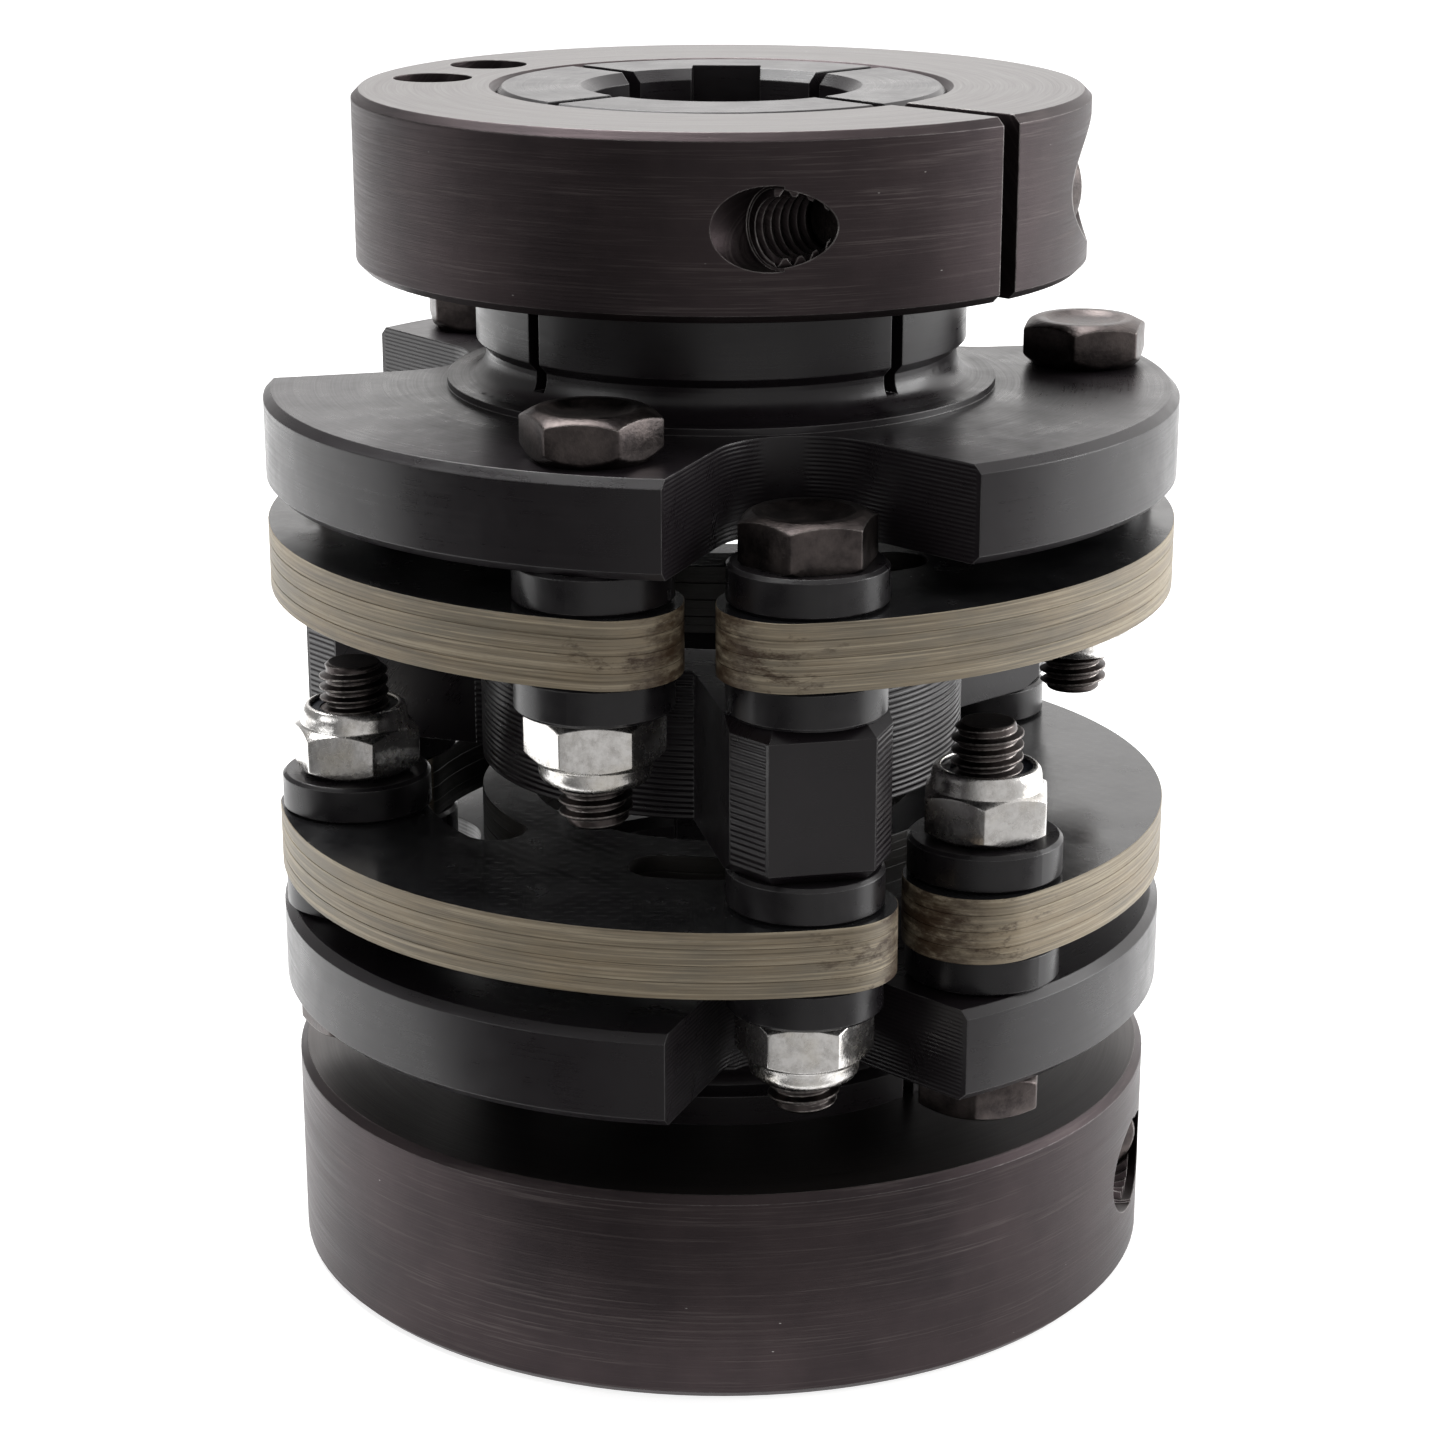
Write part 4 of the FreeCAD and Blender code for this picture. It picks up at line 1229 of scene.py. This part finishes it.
@dataclass
class DiscPack:
    """Laminated discs, split into an inner ring on the pack and six half arms sliced across towards
    their bolts.
    """

    side: Side
    gap_azimuth: float
    hub_side: int
    plies: int = 4
    bolt_radius: float = 32.8
    bolt_angle: float = 15.0
    web_edge: float = 45.0
    slot_middle: float = 24.2
    clamped: float = 6.6
    flat_start: float = 2.0
    ply_corner: float = 0.06
    bend_cuts: int = 6
    level: float = 0.9
    sharp: float = 35.0

    def at(self, azimuth: float) -> Vector:
        """Point of the bolt circle."""
        return Matrix.Rotation(math.radians(azimuth), 3, "Z") @ Vector((self.bolt_radius, 0, 0))

    def ply(self, number: int) -> Shape:
        """One disc in millimetres, with its rims broken and cut across at the ends of its arms.

        Args:
            number: the disc's number, from 1.

        Returns:
            The whole disc.
        """
        node = f"{self.side.value}_disc_{number}"
        bm = bmesh.new()
        bm.from_mesh(bpy.data.objects[node].data)
        bmesh.ops.scale(bm, vec=(1 / MM, 1 / MM, 1 / MM), verts=bm.verts)
        bmesh.ops.remove_doubles(bm, verts=bm.verts, dist=WELD)
        low = min(v.co.z for v in bm.verts)
        high = max(v.co.z for v in bm.verts)
        for level in (low + self.ply_corner, high - self.ply_corner):
            slice_at(bm, (0, 0, level), UP)
        bm.normal_update()
        for vert in [v for v in bm.verts if min(v.co.z - low, high - v.co.z) < TIGHT]:
            walls = [f.normal.xy for f in vert.link_faces if abs(f.normal.z) < 0.5]
            if walls:
                vert.co.xy -= sum(walls, Vector((0.0, 0.0))).normalized() * self.ply_corner
        for gap in range(3):
            for sense in (1, -1):
                azimuth = self.gap_azimuth + THIRD * gap + sense * self.web_edge
                slice_at(bm, (0, 0, 0), self.at(azimuth + 90.0).normalized())
        return bm

    def arm_of(self, face: bmesh.types.BMFace) -> int:
        """Find the half arm that a face belongs to.

        Args:
            face: the face.

        Returns:
            The half arm's number from 0 to 5, or -1 for the inner ring and its webs.
        """
        middle = face.calc_center_median()
        if middle.xy.length < self.slot_middle:
            return -1
        turn = math.degrees(math.atan2(middle.y, middle.x)) - self.gap_azimuth
        gap = round(turn / THIRD)
        offset = turn - THIRD * gap
        if abs(offset) > self.web_edge:
            return -1
        return 2 * (gap % 3) + (0 if offset > 0 else 1)

    def take(self, keep: Callable[[bmesh.types.BMFace], bool]) -> Shape:
        """The faces of every disc that pass a test, with their cuts closed.

        Args:
            keep: the test.

        Returns:
            Closed plies.
        """
        whole = bmesh.new()
        for number in range(1, self.plies + 1):
            bm = self.ply(number)
            others = [f for f in bm.faces if not keep(f)]
            bmesh.ops.delete(bm, geom=others, context="FACES")
            close_holes(bm)
            join_shapes(whole, bm)
        return whole

    def dress(self, bm: Shape, name: str, finishes: Sequence[Material]) -> Object:
        """Give a part of the pack its face and edge finishes.

        Args:
            bm: the part's shape, which is freed.
            name: its name.
            finishes: materials of the faces and of the cut edges.

        Returns:
            The part.
        """
        bm.normal_update()
        for face in bm.faces:
            level = abs(face.normal.z) > self.level
            face.material_index = (Surface.FACE if level else Surface.CUT_EDGE).value
        piece = drop(bm, name, finishes, self.sharp)
        return piece

    def build(self, finishes: Sequence[Material]) -> None:
        """Make the inner ring, which rides on the pack, and the six half arms, each sliced across
        between web and bolt.

        Args:
            finishes: materials of the faces and of the cut edges.
        """
        side = self.side.value
        ring = self.dress(self.take(lambda f: self.arm_of(f) < 0), f"{side}_pack_ring", finishes)
        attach(ring, f"{side}_pack")
        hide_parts(*[f"{side}_disc_{k}" for k in range(1, self.plies + 1)])
        for arm in range(6):
            sense = 1 if arm % 2 == 0 else -1
            gap = self.gap_azimuth + THIRD * (arm // 2)
            bolt = self.at(gap + sense * self.bolt_angle)
            web = self.at(gap + sense * self.web_edge)
            way = (bolt - web).normalized()
            start = web + way * self.flat_start
            end = bolt - way * self.clamped
            bm = self.take(lambda f, a=arm: self.arm_of(f) == a)
            for cut in range(self.bend_cuts + 1):
                slice_at(bm, start.lerp(end, cut / self.bend_cuts), way)
            to_hub = sense == self.hub_side
            name = f"{side}_pack_{'hub' if to_hub else 'centre'}_arm_{arm // 2 + 1}"
            piece = self.dress(bm, name, finishes)
            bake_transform(piece)


# ---- studio ----


@dataclass(frozen=True)
class Lamp:
    """Soft square lamp that looks at the coupling's middle; metres and watts."""

    name: str
    place: tuple[float, float, float]
    size: float
    watts: float
    aim: tuple[float, float, float] = (0.0, 0.0, 0.05)

    def hang(self) -> None:
        """Put the lamp in the scene."""
        data = bpy.data.lights.new(self.name, "AREA")
        data.size = self.size
        data.energy = self.watts
        lamp = bpy.data.objects.new(self.name, data)
        lamp.location = self.place
        way = Vector(self.aim) - Vector(self.place)
        lamp.rotation_euler = way.to_track_quat("-Z", "Y").to_euler()
        bpy.context.scene.collection.objects.link(lamp)


@dataclass
class Studio:
    """Floor, light and camera."""

    floor_front: float = -0.05
    floor_reach: float = 2.6
    paper: tuple[Colour, Colour] = ((0.44, 0.44, 0.44), (0.48, 0.48, 0.48))
    paper_rough: float = 0.9
    paper_glow: float = 0.80
    tent_colour: Colour = (1.0, 0.985, 0.975)
    front_to_back: Range = (-0.4, 0.8, 0.50, 1.45)
    left_to_right: Range = (-0.6, 0.0, 0.22, 1.0)
    lamps: tuple[Lamp, ...] = (
        Lamp("top_lamp", (-0.15, 0.25, 0.75), 0.55, 10.0),
        Lamp("left_lamp", (-0.70, -0.35, 0.35), 0.45, 1.0),
        Lamp("right_lamp", (0.75, 0.10, 0.30), 0.45, 3.5),
    )
    camera_place: tuple[float, float, float] = (0.0, -0.29214, 0.13811)
    camera_tilt: float = 70.88
    lens: float = 84.88
    sensor: float = 36.0
    shift: tuple[float, float] = (0.0008, 0.0758)
    clip_start: float = 0.01

    def lay_floor(self) -> None:
        """Plain white floor that ends a little in front of the coupling."""
        bm = bmesh.new()
        bmesh.ops.create_grid(bm, x_segments=4, y_segments=4, size=self.floor_reach / MM)
        back = (self.floor_reach + self.floor_front) / MM
        bmesh.ops.translate(bm, vec=(0, back, 0), verts=bm.verts)
        g = Graph("white_floor")
        cloth = g.noise(g.place, scale=0.4, detail=3.0)
        glow = {"Emission_Strength": self.paper_glow, "Emission_Color": WHITE}
        colour = g.mix(cloth, *self.paper)
        paper = g.close(colour, self.paper_rough, g.bump(cloth, 0.02), 0.0, **glow)
        drop(bm, "floor", [paper])

    def light_world(self) -> None:
        """White light tent, dimmer in front and to the left, and plain white to the camera."""
        world = bpy.data.worlds.new("tent")
        bpy.context.scene.world = world
        world.use_nodes = True
        t = Tree(world.node_tree)
        x, y, _ = t.split(t.out("ShaderNodeTexCoord", "Generated", {}))
        front, side = t.remap(y, *self.front_to_back), t.remap(x, *self.left_to_right)
        strength = t.math("MULTIPLY", front, side)
        lit = t.out("ShaderNodeBackground", 0, {"Color": self.tent_colour, "Strength": strength})
        seen = t.out("ShaderNodeBackground", 0, {"Color": WHITE})
        to_camera = t.out("ShaderNodeLightPath", "Is Camera Ray", {})
        choice = t.out("ShaderNodeMixShader", 0, {0: to_camera, 1: lit, 2: seen})
        t.feed(t.node("ShaderNodeOutputWorld").inputs[0], choice)

    def set_camera(self) -> None:
        """Camera in front of the coupling, looking a little down."""
        data = bpy.data.cameras.new("camera")
        data.lens = self.lens
        data.sensor_width = self.sensor
        data.shift_x, data.shift_y = self.shift
        data.clip_start = self.clip_start
        camera = bpy.data.objects.new("camera", data)
        camera.location = self.camera_place
        camera.rotation_euler = (math.radians(self.camera_tilt), 0.0, 0.0)
        bpy.context.scene.collection.objects.link(camera)
        bpy.context.scene.camera = camera

    def build(self) -> None:
        """Set up the whole studio."""
        self.lay_floor()
        self.light_world()
        for lamp in self.lamps:
            lamp.hang()
        self.set_camera()
        view = bpy.context.scene.view_settings
        view.view_transform = "Standard"
        view.look = "None"


def paint(nodes: dict[str, Object], names: Iterable[str], finish: Material) -> None:
    """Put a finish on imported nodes.

    Args:
        nodes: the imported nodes' objects by name.
        names: the nodes to paint.
        finish: the material.
    """
    for name in names:
        piece = nodes[name]
        if not piece.material_slots:
            piece.data.materials.append(finish)
        for slot in piece.material_slots:
            slot.material = finish
        LOG.info("%s: %s", name, finish.name)


def paint_all(nodes: dict[str, Object], ring_oxide: Material) -> None:
    """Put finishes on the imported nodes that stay.

    Args:
        nodes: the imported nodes' objects by name.
        ring_oxide: material of the clamp rings.
    """
    paint(nodes, ["lower_clamp_ring", "upper_clamp_ring"], ring_oxide)
    paint(nodes, ["lower_hub", "upper_hub"], BlackAnodised("hub_anodised").build())
    arms = BlackAnodised(
        "centre_anodised", milled_inside=50.0, milled_outside=15.0, cut_pitch=0.5,
        plain=(22.0, 35.3), nose=38.38, relief=0.06,
    )
    paint(nodes, ["centre_member"], arms.build())
    spacer = SpacerOxide().build()
    paint(nodes, [n for n in nodes if n.endswith(("_spacers", "_washers"))], spacer)
    nylon = LockingNylon().build()
    paint(nodes, [n for n in nodes if n.endswith("_inserts")], nylon)


def main() -> None:
    """Build the coupling's looks."""
    logging.basicConfig(level=logging.INFO, format="%(name)s: %(message)s")
    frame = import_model()
    joints = {joint["name"]: joint for joint in frame["joints"]}

    ring_oxide = RingOxide().build()
    bolt_oxide = BoltOxide().build()
    zinc = BrightZinc().build()
    paint_all(frame["nodes"], ring_oxide)

    hub_bolts, centre_bolts, nuts = HexBolts(crown=4.3, foot=4.5), HexBolts(foot=5.4), LockNuts()
    for k in range(1, 4):
        hub_bolts.build(f"upper_hub_bolt_{k}", "upper_hub_set", bolt_oxide, upside_down=False)
        hub_bolts.build(f"lower_hub_bolt_{k}", "lower_hub_set", bolt_oxide, upside_down=True)
        centre_bolts.build(f"centre_bolt_{k}", "centre_set", bolt_oxide, upside_down=False)
        nuts.build(f"upper_hub_nut_{k}", "upper_hub_set", zinc, collar_down=True)
        nuts.build(f"lower_hub_nut_{k}", "lower_hub_set", zinc, collar_down=False)
        nuts.build(f"centre_nut_{k}", "centre_set", zinc, collar_down=True)

    upper_screw = ClampScrew(
        Side.UPPER, Thread(6.0, 1.0), head_width=10.0, head=6.0, socket=5.0, threaded=14.0,
        lining_end=19.3, ring_radius=31.15,
    )
    lower_screw = ClampScrew(
        Side.LOWER, Thread(8.0, 1.25), head_width=13.0, head=8.0, socket=6.0, threaded=18.0,
        lining_end=24.0, ring_radius=38.65,
    )
    for screw in (upper_screw, lower_screw):
        screw.build(joints[f"{screw.side.value}_screw_turn"], bolt_oxide, ring_oxide)

    upper_pack = DiscPack(Side.UPPER, gap_azimuth=-93.0, hub_side=-1)
    lower_pack = DiscPack(Side.LOWER, gap_azimuth=-63.0, hub_side=1)
    for pack in (upper_pack, lower_pack):
        side = pack.side.value
        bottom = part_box(f"{side}_disc_1")[0].z / MM
        face = DiscFace(f"{side}_disc_face").build()
        edge = DiscEdge(f"{side}_disc_edge", pack.gap_azimuth, bottom=bottom).build()
        pack.build([face, edge])

    Studio().build()


if __name__ == "__main__":
    main()
